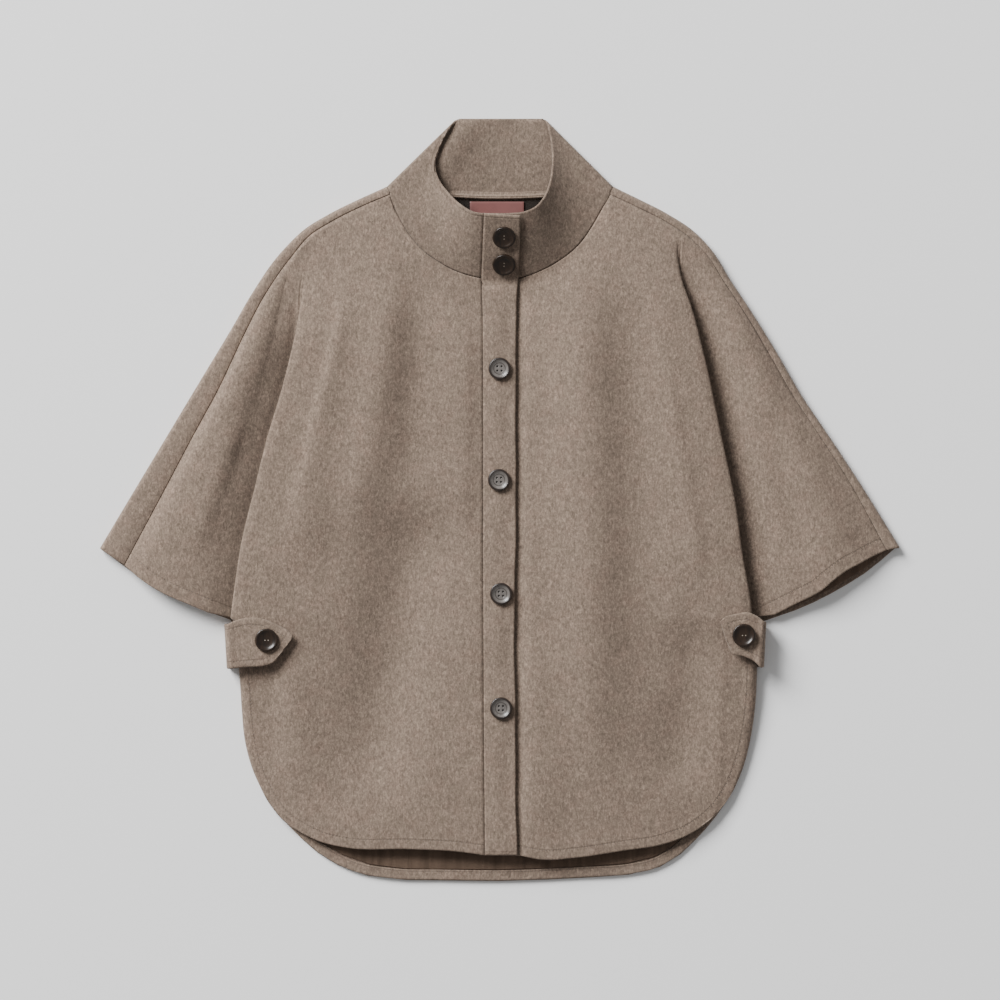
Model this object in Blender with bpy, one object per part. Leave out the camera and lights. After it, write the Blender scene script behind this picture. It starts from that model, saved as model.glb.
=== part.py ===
"""A buttoned cape-poncho of felted wool with a funnel collar, laid flat on its back.

X runs across the garment, Y from the hem up to the collar, Z up from the table. Sizes are in
millimetres and are turned to metres when a mesh is made. "right" and "left" are the wearer's.
"""

import math

import bpy
import numpy as np

MM = 0.001

# Cloth and gaps
WOOL = 2.2
COLLAR_WALL = 2.4
PLACKET_WALL = 3.0
TAB_WALL = 2.6
LINING_WALL = 1.0
FACING_WALL = 1.6
LABEL_WALL = 0.8
GAP = 0.3
SEAT = 0.25

# Heights above the table
LINING_BASE = WOOL + GAP
SIDE_FOOT = 2.7
PLACKET_PROUD = 0.8
UNDERLAP_DROP = 2.7

# Where the rows of the panels lie
PLACKET_TOP_Y = 284.0
NECK_Y = 221.0
CUFF_Y = -118.0
HEM_Y = -354.5
ROW_SHARES = (0.0, 0.04, 0.1, 0.18, 0.27, 0.37, 0.47, 0.58, 0.69, 0.8, 0.9, 1.0)
SKIRT_SHARES = (0.0, 0.06, 0.16, 0.28, 0.4, 0.52, 0.64, 0.76, 0.88, 1.0)
ROLL_STEPS = 6
SLEEVE_STEPS = 6
NECK_STEPS = 11
SHOULDER_STEPS = 4

# How far the lining and the hem's strip stay inside the back's edges
LINING_IN = 4.5
LINING_IN_HEM = 11.6
LINING_IN_ARMPIT = 12.0
FACING_IN = (11.0, 0.8)

# The turn of the back's edge up to the overarm seam
EDGE_RADIUS = 4.6
EDGE_SHARE = 0.72

# Where the front dips under the placket, and how fast the folds come in beside the seams
UNDERLAP_FROM = 20.0
UNDERLAP_OVER = 16.0
LEVEL_OVER = 0.25
LEVEL_UNDER_PLACKET = 0.14

# Buttons
DARK_ACROSS = 23.0
GREY_ACROSS = 22.0
BUTTON_THICK = 3.6
BUTTON_SIDES = 18


def table(names, *rows):
    """The columns of a short table, each an array under its own name."""
    return dict(zip(names.split(), np.array(rows, float).T))


# The height of the sewn front edge down the garment, and the placket's two edges
PLACKET = table(
    "y left right height",
    (PLACKET_TOP_Y, -16.0, 20.5, 46.0),
    (262, -17.0, 20.0, 36.0),
    (241, -17.8, 19.4, 26.3),
    (NECK_Y, -18.6, 18.6, 17.0),
    (206, -18.0, 17.0, 17.0),
    (150, -17.2, 16.2, 17.6),
    (90, -17.0, 16.2, 18.0),
    (20, -17.0, 16.0, 18.3),
    (-60, -17.0, 15.8, 18.3),
    (-150, -16.6, 14.4, 18.0),
    (-230, -16.2, 15.8, 17.5),
    (-300, -15.6, 16.2, 16.8),
    (HEM_Y, -15.2, 17.2, 16.0),
)

# Each half of the garment. neck: the front neck seam, outwards from the placket. overarm: the
# seam from the neck to the cuff, with the silhouette beside it. fold: where the body lies over
# the sleeve, with the height of each and the depth of the tuck. cuff and back_cuff: the two
# layers' edges. side: the side edge with the height of its rolled edge. hem and back_hem: from
# the centre to the side.
HALVES = {
    "right": {
        "out": -1,
        "neck": table(
            "x y z",
            (-18.6, 221, 17.0),
            (-34, 224.7, 17.2),
            (-48, 230, 17.2),
            (-62, 238, 17.0),
            (-76, 248, 16.5),
            (-88, 261.5, 15.6),
            (-98, 277, 14.2),
            (-105, 291, 12.7),
            (-110, 305, 11.3),
        ),
        "overarm": table(
            "x y z edge_x edge_y",
            (-110, 305, 11.3, -112.5, 313.2),
            (-138.6, 292.8, 11.2, -142, 300),
            (-168, 278, 11.0, -172, 285),
            (-191, 263, 11.0, -196, 270),
            (-208, 243, 10.9, -217, 249.5),
            (-238, 199, 10.8, -248.5, 205.3),
            (-254, 168, 10.6, -265.9, 175.2),
            (-282, 109, 10.4, -299.4, 119.5),
            (-308, 61, 10.2, -327.5, 72.7),
            (-336, 8, 10.0, -358.3, 21.4),
            (-375, -65, 10.0, -400, -48.5),
        ),
        "fold": table(
            "x y body sleeve tuck",
            (-181, 270, 11.0, 11.0, 0),
            (-187, 246, 13.5, 10.6, 0),
            (-193, 216, 17.0, 10.0, 2),
            (-202, 168, 21.0, 9.0, 6),
            (-215, 114, 23.0, 8.2, 12),
            (-232, 56, 23.5, 7.8, 17),
            (-243, 11, 23.5, 7.6, 21),
            (-255, -37, 23.0, 7.6, 24),
            (-263, -87, 22.0, 7.6, 26),
            (-267, CUFF_Y, 21.0, 7.6, 26),
        ),
        "cuff": table(
            "x y z",
            (-291.3, -112.3, 14.0),
            (-309, -105, 16.2),
            (-342, -90, 17.4),
            (-364, -75, 14.0),
            (-375, -65, 10.0),
        ),
        "back_cuff": table(
            "x y",
            (-269, -120),
            (-309, -105),
            (-342, -90),
            (-364, -75),
            (-396, -52),
        ),
        "side": table(
            "x y height",
            (-267, CUFF_Y, 21.0),
            (-264, -145, 18.2),
            (-260, -180, 14.0),
            (-258, -210, 11.5),
            (-255, -240, 9.5),
            (-247, -270, 7.5),
            (-238.5, -289, 6.5),
        ),
        "hem": table(
            "x y z",
            (-15.2, HEM_Y, 16.0),
            (-41, -351, 16.0),
            (-89, -348.5, 15.5),
            (-154, -347, 13.0),
            (-180, -341, 11.0),
            (-200, -331.5, 9.5),
            (-217, -320, 8.3),
            (-231, -303, 7.0),
            (-238.5, -289, 6.5),
        ),
        "back_hem": table(
            "x y",
            (0, -381),
            (-60, -380.3),
            (-108, -379),
            (-146, -372),
            (-173, -359),
            (-211, -326),
            (-228, -307),
            (-238.5, -289),
        ),
        "in_angle": (28, 12, 3, 0),
        "out_angle": (-45, -22, -8, 13),
        "crown": (7.0, 0.64),
        "rise": (2.6, 6.4),
    },
    "left": {
        "out": 1,
        "neck": table(
            "x y z",
            (-12, 221, 14.1),
            (4, 221, 14.1),
            (19.5, 221, 14.2),
            (27, 223.2, 15.2),
            (41, 228.7, 16.7),
            (60, 239.2, 17.0),
            (79, 255, 16.4),
            (91.5, 272.5, 14.8),
            (101.5, 290, 12.9),
            (110, 305, 11.3),
        ),
        "overarm": table(
            "x y z edge_x edge_y",
            (110, 305, 11.3, 112.5, 313.2),
            (136.5, 292.6, 11.2, 140, 300),
            (165.5, 277.8, 11.0, 169, 285),
            (187.5, 263.3, 11.0, 192.5, 269.5),
            (205.5, 246, 10.9, 211, 250.5),
            (224, 217.6, 10.8, 229.5, 221),
            (245.5, 185.5, 10.6, 251, 188.5),
            (269.5, 145, 10.4, 275.9, 148.4),
            (295, 100.5, 10.2, 301.3, 104.5),
            (314, 72, 10.1, 320.5, 76),
            (349.5, 17, 10.0, 357, 21),
            (386, -50, 10.0, 399.5, -47.5),
        ),
        "fold": table(
            "x y body sleeve tuck",
            (176, 272, 11.0, 11.0, 0),
            (175, 252, 14.0, 10.6, 2),
            (180, 220, 18.0, 10.0, 5),
            (188, 197, 19.5, 9.6, 8),
            (203, 140, 21.5, 9.2, 14),
            (219, 64, 22.0, 9.0, 20),
            (233, -3, 22.0, 9.0, 24),
            (241, -60, 21.5, 9.0, 26),
            (247, -93, 21.0, 9.0, 26),
            (250, CUFF_Y, 20.5, 9.0, 26),
        ),
        "cuff": table(
            "x y z",
            (274.5, -114.5, 12.0),
            (297, -103, 14.5),
            (320, -91, 17.0),
            (333, -80, 18.5),
            (345, -71, 18.5),
            (358, -64, 17.0),
            (371, -57, 13.5),
            (386, -50, 10.0),
        ),
        "back_cuff": table(
            "x y",
            (258, -123),
            (308, -105),
            (339, -89),
            (365, -73),
            (395, -52),
        ),
        "side": table(
            "x y height",
            (250, CUFF_Y, 20.5),
            (255, -138, 18.0),
            (256.5, -180, 14.0),
            (254.5, -210, 11.5),
            (250, -240, 9.5),
            (242, -270, 7.5),
            (234, -289, 6.5),
        ),
        "hem": table(
            "x y z",
            (-12, HEM_Y, 13.3),
            (18, -355, 13.3),
            (43, -359, 15.6),
            (76, -357, 15.3),
            (123.5, -350, 14.0),
            (162, -344, 12.0),
            (190, -333.5, 10.0),
            (213, -317, 8.3),
            (226, -302, 7.0),
            (234, -289, 6.5),
        ),
        "back_hem": table(
            "x y",
            (0, -381),
            (76, -378),
            (133, -374),
            (152, -370),
            (171, -361),
            (200, -335),
            (222, -308),
            (234, -289),
        ),
        "in_angle": (28, 10, 4, 0),
        "out_angle": (-45, -28, -12, 8),
        "crown": (5.0, 0.5),
        "rise": (1.0, 3.0),
    },
}

# The collar's free top edge, outwards from the placket, and where its rolled sides come down
COLLAR_TOP = {
    "right": table(
        "x y z",
        (-16.2, 284, 46.0),
        (-27, 286, 43.5),
        (-40, 294, 36.0),
        (-54, 309, 25.5),
        (-63, 324, 18.5),
        (-65, 337, 16.0),
        (-59, 355, 13.0),
        (-50, 372, 9.6),
    ),
    "left": table(
        "x y z",
        (-12, 284.5, 42.4),
        (4, 284.5, 42.4),
        (20, 285.2, 42.6),
        (34, 290, 42.5),
        (43, 299, 39.0),
        (49, 312, 33.0),
        (52, 327, 27.0),
        (51, 354, 16.0),
        (46.5, 372, 9.6),
    ),
}
COLLAR_BACK_EDGE = (42.0, 381.4)
NECK_BACK_Y = 300.5
NECK_CORNER = (109.2, 308.8, 5.4)
NECK_ROLL_OUT = (3.5, 4.5)
COLLAR_CORNER = (45.3, 377.4, 4.3)
COLLAR_ROLL_OUT = (2.2, 3.0)
COLLAR_STEPS = 4

# The largest soft folds of the fronts: a line of three points, its half width and its height
FOLDS = table(
    "x0 y0 x1 y1 x2 y2 width height",
    (-160, 240, -176, 80, -206, -90, 25, 2.6),
    (-108, 250, -120, 100, -154, -60, 25, 3.6),
    (-76, 262, -84, 140, -86, -20, 24, -2.2),
    (-66, 20, -106, -120, -142, -330, 38, -5.6),
    (86, 240, 94, 40, 112, -320, 28, 3.4),
    (130, 240, 132, 60, 150, -260, 25, -2.4),
    (206, -120, 196, -215, 180, -300, 26, -3.0),
)

# The waist tabs, from the point to the side: their upper and lower edges, and the lift of the point
TABS = {
    "right": table(
        "upper_x upper_y lower_x lower_y lift",
        (-206.4, -135.0, -207.4, -138.2, 2.4),
        (-212, -129.7, -216.2, -150.8, 1.5),
        (-221.8, -124.5, -227.4, -163.0, 0.7),
        (-235.8, -118.5, -237, -165.6, 0.1),
        (-251.3, -117.1, -252, -166.4, 0),
        (-263, -119.8, -262, -167.2, 0),
        (-274.8, -123.5, -272.2, -168.4, 0),
    ),
    "left": table(
        "upper_x upper_y lower_x lower_y lift",
        (219.5, -120.8, 221.5, -128.0, 1.4),
        (224.5, -116.2, 226.5, -143.0, 0.8),
        (234, -113.6, 232, -153.4, 0.3),
        (247, -111.9, 243, -156.0, 0),
        (256, -115.5, 252, -160.0, 0),
        (265.4, -120.5, 263, -167.0, 0),
    ),
}
TAB_ROWS = 4
TAB_CLEAR = 0.5
TAB_LOOK = 8
# How the tab goes down round the side edge: reach inwards, height as a share of the tab's, height
# above that, and how far it has come from its upper and lower edges to the back's edge
TAB_TURN = table(
    "reach share above drop",
    (2.5, 1, -0.6, 0),
    (0.6, 1, -3.0, 0.1),
    (0, 0.5, 0, 0.5),
    (0.4, 0, 2.2, 1),
    (2.6, 0, 0, 1),
)
TAB_TO_BACK = 1.2

# Buttons: place, width, colour and the node that carries it
BUTTONS = (
    ("collar_button_1", 4.0, 261.5, "dark"),
    ("collar_button_2", 4.0, 235.0, "dark"),
    ("front_button_1", -0.5, 131.0, "grey"),
    ("front_button_2", -1.0, 20.0, "grey"),
    ("front_button_3", 1.0, -93.5, "grey"),
    ("front_button_4", 1.0, -207.5, "grey"),
)
TAB_BUTTONS = {"right": (-232.5, -139.5), "left": (242.8, -134.7)}

# The bare woven label inside the neck
LABEL_X = (-30.0, 24.0)
LABEL_Y = (271.0, 297.0)

COLOURS = {
    "wool": (0.29, 0.235, 0.195, 1),
    "lining": (0.056, 0.036, 0.025, 1),
    "label": (0.33, 0.11, 0.11, 1),
    "dark": (0.012, 0.007, 0.004, 1),
    "grey": (0.28, 0.26, 0.235, 1),
}
ROUGHNESS = {"wool": 0.95, "lining": 0.6, "label": 0.7, "dark": 0.2, "grey": 0.4}


def spline(at, knots, share):
    """A cubic through the knots; the slope at each is that of the parabola through its neighbours."""
    share = np.asarray(share, float)
    slope = np.gradient(knots, at, axis=0)
    i = np.clip(np.searchsorted(at, share, side="right") - 1, 0, len(at) - 2)
    step = (at[i + 1] - at[i])[:, None]
    t = (share - at[i])[:, None] / step
    start = knots[i] * (1 + 2 * t) * (1 - t) ** 2 + slope[i] * step * t * (1 - t) ** 2
    end = knots[i + 1] * t**2 * (3 - 2 * t) - slope[i + 1] * step * t**2 * (1 - t)
    return start + end


def lengths(points):
    """Distance along a line of points, from 0 at its first."""
    steps = np.linalg.norm(np.diff(points, axis=0), axis=1)
    return np.concatenate([[0.0], np.cumsum(steps)])


def columns(rows, names):
    return np.stack([rows[name] for name in names.split()], axis=1)


def along(rows, names, shares):
    """Points of the smooth curve through a table's rows, at shares of its length seen from above."""
    knots = columns(rows, names)
    at = lengths(knots[:, :2])
    return spline(at / at[-1], knots, shares)


def by_y(rows, name, y):
    """A column of a table read at heights y, straight between its rows."""
    return np.interp(-np.asarray(y, float), -rows["y"], rows[name])


def soft_step(t):
    t = np.clip(t, 0, 1)
    return t * t * (3 - 2 * t)


def unit(vectors):
    return vectors / np.maximum(np.linalg.norm(vectors, axis=-1, keepdims=True), 1e-9)


def coons(top, bottom, left, right, u, v):
    """The patch inside four edges: the two straight blends less the corners' bilinear blend."""
    u = u[None, :, None]
    v = v[:, None, None]
    across = (1 - u) * left[:, None] + u * right[:, None]
    down = (1 - v) * top[None] + v * bottom[None]
    corners = (1 - v) * ((1 - u) * top[0] + u * top[-1]) + v * ((1 - u) * bottom[0] + u * bottom[-1])
    return across + down - corners


def cell_normals(grid):
    across = grid[1:, 1:] - grid[:-1, :-1]
    down = grid[1:, :-1] - grid[:-1, 1:]
    return unit(np.cross(down, across))


def point_normals(grid, cells, flip):
    """The mean of the unit normals of the cells round each point."""
    normals = cell_normals(grid) * cells[..., None] * flip
    total = np.zeros(grid.shape)
    for rows in (slice(0, -1), slice(1, None)):
        for cols in (slice(0, -1), slice(1, None)):
            total[rows, cols] += normals
    return unit(total)


def mesh_object(name, points, faces, material):
    mesh = bpy.data.meshes.new(name)
    mesh.from_pydata([tuple(p) for p in points * MM], [], faces)
    mesh.validate()
    part = bpy.data.objects.new(name, mesh)
    bpy.context.scene.collection.objects.link(part)
    mesh.materials.append(material)
    mesh.shade_smooth()
    mesh.set_sharp_from_angle(angle=math.radians(50))
    return part


def wall(name, grid, thick, material, cells=None, flip=1, normals=None):
    """Cloth: the outer points, the inner points a thickness behind them, and rims round the open edges.

    cells says which cells of the grid are cloth, and normals may hold rows that replace the
    worked-out normals, such as upright ones along a seam.
    """
    if cells is None:
        cells = np.ones((grid.shape[0] - 1, grid.shape[1] - 1), bool)
    facing = point_normals(grid, cells, flip)
    if normals is not None:
        given = np.isfinite(normals[..., 0])
        facing[given] = normals[given]
    inner = grid - thick * facing
    rows, cols = grid.shape[:2]
    outer_at = np.arange(rows * cols).reshape(rows, cols)
    inner_at = outer_at + rows * cols
    faces = []
    for r in range(rows - 1):
        for c in range(cols - 1):
            if not cells[r, c]:
                continue
            corners = [(r, c), (r + 1, c), (r + 1, c + 1), (r, c + 1)]
            beside = [(r, c - 1), (r + 1, c), (r, c + 1), (r - 1, c)]
            turn = corners if flip > 0 else corners[::-1]
            faces.append([outer_at[p] for p in turn])
            faces.append([inner_at[p] for p in turn[::-1]])
            for k, (near_r, near_c) in enumerate(beside):
                if 0 <= near_r < rows - 1 and 0 <= near_c < cols - 1 and cells[near_r, near_c]:
                    continue
                a, b = corners[k], corners[(k + 1) % 4]
                if flip < 0:
                    a, b = b, a
                faces.append([outer_at[b], outer_at[a], inner_at[a], inner_at[b]])
    used = sorted({int(i) for face in faces for i in face})
    new_at = {old: new for new, old in enumerate(used)}
    faces = [[new_at[int(i)] for i in face] for face in faces]
    points = np.concatenate([grid.reshape(-1, 3), inner.reshape(-1, 3)])[used]
    return mesh_object(name, points, faces, material)


def pull(grid, index, neighbour, distance):
    """Moves one edge of a grid towards the line of points beside it, to leave room for a seam."""
    step = unit(grid[neighbour] - grid[index])
    grid[index] = grid[index] + distance * step


def neck_seam(half):
    return along(half["neck"], "x y z", np.linspace(0, 1, NECK_STEPS + 1))


def overarm(half, distances):
    """Points of the overarm seam at distances from the neck, with the silhouette beside each."""
    knots = columns(half["overarm"], "x y z edge_x edge_y")
    return spline(lengths(knots[:, :2]), knots, distances)


# Places along the overarm seam, from where the fold starts
FOLD_PLACES = np.array([-4.0, 11.0, 25.0, 47.0])


def seam_layout(half):
    """Distances along the overarm seam shared by the front and the back.

    Gives the shoulder's, the fold's and the sleeve's, with the place where the fold starts.
    """
    knots = columns(half["overarm"], "x y")
    at = lengths(knots)
    start = np.array([half["fold"]["x"][0], half["fold"]["y"][0]])
    fine = np.linspace(0, at[-1], 2000)
    fold_at = fine[np.argmin(np.linalg.norm(spline(at, knots, fine) - start, axis=1))]
    shoulder = np.linspace(0, fold_at - 30, SHOULDER_STEPS)
    fold = fold_at + FOLD_PLACES
    sleeve = fold[-1] + (at[-1] - fold[-1]) * np.array(ROW_SHARES[1:])
    return shoulder, fold, sleeve


CHAIN_FLAT = np.array([-30, -14, -4, 1.5, 3, 4.5, 6, 7.5, 9, 11, 15, 25], float)


def chain_points(half, shares):
    """The folded stretch between body and sleeve, a row of twelve points at each share of the fold line.

    Outwards they run over the body's rolled edge, back under it by the depth of the tuck, and out
    again onto the sleeve. Where the tuck is shallow the same points lie in one slope.
    """
    fold = along(half["fold"], "x y body sleeve tuck", shares)
    here = fold[:, None, :2]
    body = fold[:, None, 2]
    sleeve = fold[:, None, 3]
    tuck = fold[:, 4][:, None]
    reach = np.array([-30, -14, -4, 1.5, 1.5, 0, 0, 0, 0, 0, 10, 25], float)
    folded = reach + 0 * tuck
    folded[:, 5:6] = -3 - 0.25 * tuck
    folded[:, 6:7] = 2 - tuck
    folded[:, 7:8] = -3 - tuck
    folded[:, 8:9] = 2 - tuck
    drops = np.array([1, 0.5, 0, -2, -6, -8.5, -9, -10.5])
    rises = np.array([0.5, 0, *half["rise"]])
    high = np.concatenate([body + drops, sleeve + rises], axis=1)
    share = (CHAIN_FLAT - CHAIN_FLAT[0]) / (CHAIN_FLAT[-1] - CHAIN_FLAT[0])
    slope = (body + 1) + (sleeve + 3 - body - 1) * soft_step(share)[None]
    strength = soft_step(tuck / 9)
    reach = CHAIN_FLAT * (1 - strength) + folded * strength
    height = slope * (1 - strength) + high * strength
    turns = np.array([0, 0.12, 0.45, 1.0])
    inward = np.radians(np.interp(shares, turns, half["in_angle"]))
    outward = np.radians(np.interp(shares, turns, half["out_angle"]))
    out = half["out"]
    inner_way = np.stack([-out * np.cos(inward), np.sin(inward)], axis=1)
    outer_way = np.stack([out * np.cos(outward), np.sin(outward)], axis=1)
    way = np.where(reach[..., None] < 0, -inner_way[:, None], outer_way[:, None])
    return np.concatenate([here + reach[..., None] * way, height[..., None]], axis=2)


def fold_relief(x, y):
    """The height of the soft folds at a place: each is a bell across its curved line and fades at its ends."""
    total = np.zeros(np.shape(x))
    t = np.linspace(0, 1, 25)
    for x0, y0, x1, y1, x2, y2, width, height in zip(*FOLDS.values()):
        line_x = (1 - t) ** 2 * x0 + 2 * t * (1 - t) * x1 + t**2 * x2
        line_y = (1 - t) ** 2 * y0 + 2 * t * (1 - t) * y1 + t**2 * y2
        gap = np.hypot(x[..., None] - line_x, y[..., None] - line_y)
        share = t[gap.argmin(axis=-1)]
        fade = soft_step(share / 0.25) * soft_step((1 - share) / 0.25)
        total += height * fade * np.exp(-((gap.min(axis=-1) / width) ** 2))
    return total


def underlap(x, half):
    """How far the left front dips to pass under the placket."""
    if half["out"] < 0:
        return np.zeros(np.shape(x))
    return UNDERLAP_DROP * (1 - soft_step((x - UNDERLAP_FROM) / UNDERLAP_OVER))


def level_edge(body, edge, u, half, amount):
    """Keeps a front level beside the placket and under it: its height joins the panel's over a quarter."""
    flat_to = LEVEL_UNDER_PLACKET if half["out"] > 0 else 0.0
    rise = 1 - amount[:, None] * (1 - soft_step((u - flat_to) / LEVEL_OVER))[None]
    body[..., 2] = edge[:, None, 2] + (body[..., 2] - edge[:, None, 2]) * rise


def fold_window(body, u, half):
    """Where the soft folds may show: not beside the placket, under it, or on the body's rolled edge."""
    clear = 1 - underlap(body[..., 0], half) / UNDERLAP_DROP
    return clear * (soft_step(u / 0.1) * soft_step((1 - u) / 0.08))[None]


def front_edge(half, rows_y):
    """The front's own edge at the placket, at rows of y."""
    x = by_y(PLACKET, "left", rows_y)
    if half["out"] > 0:
        x = np.full(len(rows_y), half["neck"]["x"][0])
    return np.stack([x, rows_y, by_y(PLACKET, "height", rows_y)], axis=1)


def front_grid(side):
    """The outer surface of a front with its sleeve, as a grid: rows from the neck to the hem, columns outwards.

    Gives the grid, its cloth cells, the count of upper rows and the count of columns below the cuff.
    """
    half = HALVES[side]
    shares = np.array(ROW_SHARES)
    shoulder, fold, sleeve = seam_layout(half)
    seam = overarm(half, np.concatenate([shoulder, fold, sleeve]))[:, :3]
    n_shoulder = len(shoulder)
    at_fold = seam[n_shoulder - 1 : n_shoulder + 4]
    chain = chain_points(half, shares)
    chain_at = np.array([-30.0, *FOLD_PLACES[:-1]])
    chain[0] = np.stack([np.interp(CHAIN_FLAT, chain_at, at_fold[:4, k]) for k in range(3)], axis=1)
    top = np.concatenate([neck_seam(half), seam[1:n_shoulder]])
    u = lengths(top)
    u = u / u[-1]
    edge = front_edge(half, NECK_Y + (CUFF_Y - NECK_Y) * shares)
    top[:, 2] += underlap(top[:, 0], half)
    edge[0] = top[0]
    body_end = chain[:, 0]
    line = edge[-1] + (body_end[-1] - edge[-1]) * u[:, None]
    body = coons(top, line, edge, body_end, u, shares)
    level_edge(body, edge, u, half, soft_step(shares / 0.04))
    window = soft_step(shares / 0.1)[:, None] * fold_window(body, u, half)
    body[..., 2] += fold_relief(body[..., 0], body[..., 1]) * window - underlap(body[..., 0], half)
    cuff = along(half["cuff"], "x y z", np.linspace(0, 1, SLEEVE_STEPS + 1))
    s = np.linspace(0, 1, SLEEVE_STEPS + 1)
    sleeve_top = at_fold[3] + (at_fold[4] - at_fold[3]) * s[:, None]
    sleeve_edge = seam[n_shoulder + 3 :]
    cuff[0] = chain[-1, -1]
    arm = coons(sleeve_top, cuff, chain[:, -1], sleeve_edge, s, shares)
    height, middle = half["crown"]
    hump = 1 - ((s - middle) / np.where(s < middle, middle, 1 - middle)) ** 2
    arm[..., 2] += height * (soft_step(shares / 0.3) * (1 - shares**3))[:, None] * hump[None]
    upper = np.concatenate([body[:, :-1], chain, arm[:, 1:]], axis=1)
    lower = skirt_rows(half, body[-1], chain[-1], u)
    spare = np.zeros((len(lower), upper.shape[1] - lower.shape[1], 3))
    grid = np.concatenate([upper, np.concatenate([lower, spare], axis=1)])
    cells = np.ones((grid.shape[0] - 1, grid.shape[1] - 1), bool)
    cells[len(upper) - 1 :, lower.shape[1] - 1 :] = False
    return grid, cells, len(upper), lower.shape[1]


SIDE_IN = np.array([30, 14, 4.8, 1.1, 0, 0.25])


def skirt_rows(half, top_body, top_chain, u):
    """The rows below the cuff: the body down to the hem and its edge rolled down to the back."""
    shares = np.array(SKIRT_SHARES)
    side = along(half["side"], "x y height", shares)
    tangent = unit(np.gradient(side[:, :2], shares, axis=0))
    inward = np.stack([tangent[:, 1], -tangent[:, 0]], axis=1) * half["out"]
    place = side[:, None, :2] + SIDE_IN[None, :, None] * inward[:, None]
    fall = side[:, 2:3] - SIDE_FOOT
    z = side[:, 2:3] + np.array([1.0, 0.5, 0, 0, 0, 0]) + np.array([0, 0, 0, -0.25, -0.62, -1.0]) * fall
    edge = np.concatenate([place, z[..., None]], axis=2)
    hem = columns(half["hem"], "x y z")
    hem_at = lengths(hem[:, :2])
    corner = spline(hem_at, hem, hem_at[-1] - SIDE_IN)
    corner[:, 2] = z[-1]
    edge[-1] = corner
    edge[0] = top_chain[: len(SIDE_IN)]
    front = front_edge(half, CUFF_Y + (HEM_Y - CUFF_Y) * shares)
    bottom = spline(hem_at, hem, u * (hem_at[-1] - SIDE_IN[0]))
    bottom[:, 2] += underlap(bottom[:, 0], half)
    top = top_body.copy()
    top[:, 2] += underlap(top[:, 0], half)
    top[:, 2] -= (fold_relief(top[:, 0], top[:, 1]) * fold_window(top[None], u, half))[0]
    bottom[-1] = corner[0]
    body = coons(top, bottom, front, edge[:, 0], u, shares)
    level_edge(body, front, u, half, np.ones(len(shares)))
    relief = fold_relief(body[..., 0], body[..., 1]) * fold_window(body, u, half)
    body[..., 2] += relief - underlap(body[..., 0], half)
    return np.concatenate([body[1:, :-1], edge[1:]], axis=1)


UP = np.array([0.0, 0.0, 1.0])


def front(side, material):
    grid, cells, n_upper, n_lower = front_grid(side)
    out = HALVES[side]["out"]
    normals = np.full(grid.shape, np.nan)
    normals[0] = UP
    normals[:n_upper, -1] = UP
    normals[:, 0] = UP
    below = grid[n_upper:, n_lower - 1, :2] - grid[n_upper:, n_lower - len(SIDE_IN), :2]
    normals[n_upper:, n_lower - 1, :2] = unit(below)
    normals[n_upper:, n_lower - 1, 2] = 0
    seated = grid.copy()
    pull(seated, (0, slice(None)), (1, slice(None)), SEAT)
    pull(seated, (slice(0, n_upper), -1), (slice(0, n_upper), -2), SEAT)
    if out < 0:
        pull(seated, (slice(None), 0), (slice(None), 1), SEAT)
    return wall("front_" + side, seated, WOOL, material, cells, out, normals)


def roll(top, bottom, middle, out):
    """A half turn from a point above to one below, bulging outwards: cosine of the angle up, sine out."""
    angle = np.linspace(0, math.pi, ROLL_STEPS + 1)[:, None]
    return middle + (top - bottom) / 2 * np.cos(angle) + out * np.sin(angle)


def neck_roll(side):
    out = HALVES[side]["out"]
    middle = np.array([out * NECK_CORNER[0], NECK_CORNER[1], NECK_CORNER[2]])
    bulge = np.array([out * NECK_ROLL_OUT[0], NECK_ROLL_OUT[1], 0])
    lean = np.array([out * 1.2, -0.8, NECK_CORNER[2]])
    return roll(lean, -lean, middle, bulge)


CUFF_CELLS = 5
# Shares across half the skirt and its hem, closer together at the rounded corner
SKIRT_HALF = np.array([0, 0.03, 0.06, 0.09, 0.12, 0.155, 0.2, 0.33, 0.5])
SKIRT_ACROSS = np.concatenate([SKIRT_HALF, 1 - SKIRT_HALF[-2::-1]])
SKIRT_CELLS = len(SKIRT_ACROSS) - 1


def across_shares():
    """Shares across the back's flat part at the neck: a few for each sleeve and the rest for the body."""
    sleeve = np.linspace(0, 0.2, CUFF_CELLS + 1)
    body = 0.2 + 0.6 * SKIRT_ACROSS
    return np.concatenate([sleeve, body[1:], 0.8 + sleeve[1:]])


def neck_back():
    """The back of the neck seam, where it lies on the table between the two rolled corners."""
    right = neck_roll("right")[-1]
    left = neck_roll("left")[-1]
    shares = across_shares()
    line = right + (left - right) * shares[:, None]
    dip = (right[1] - NECK_BACK_Y) * np.sin(np.pi * shares) ** 0.8
    line[:, 1] -= dip
    line[:, 2] = 0
    return line


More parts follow.
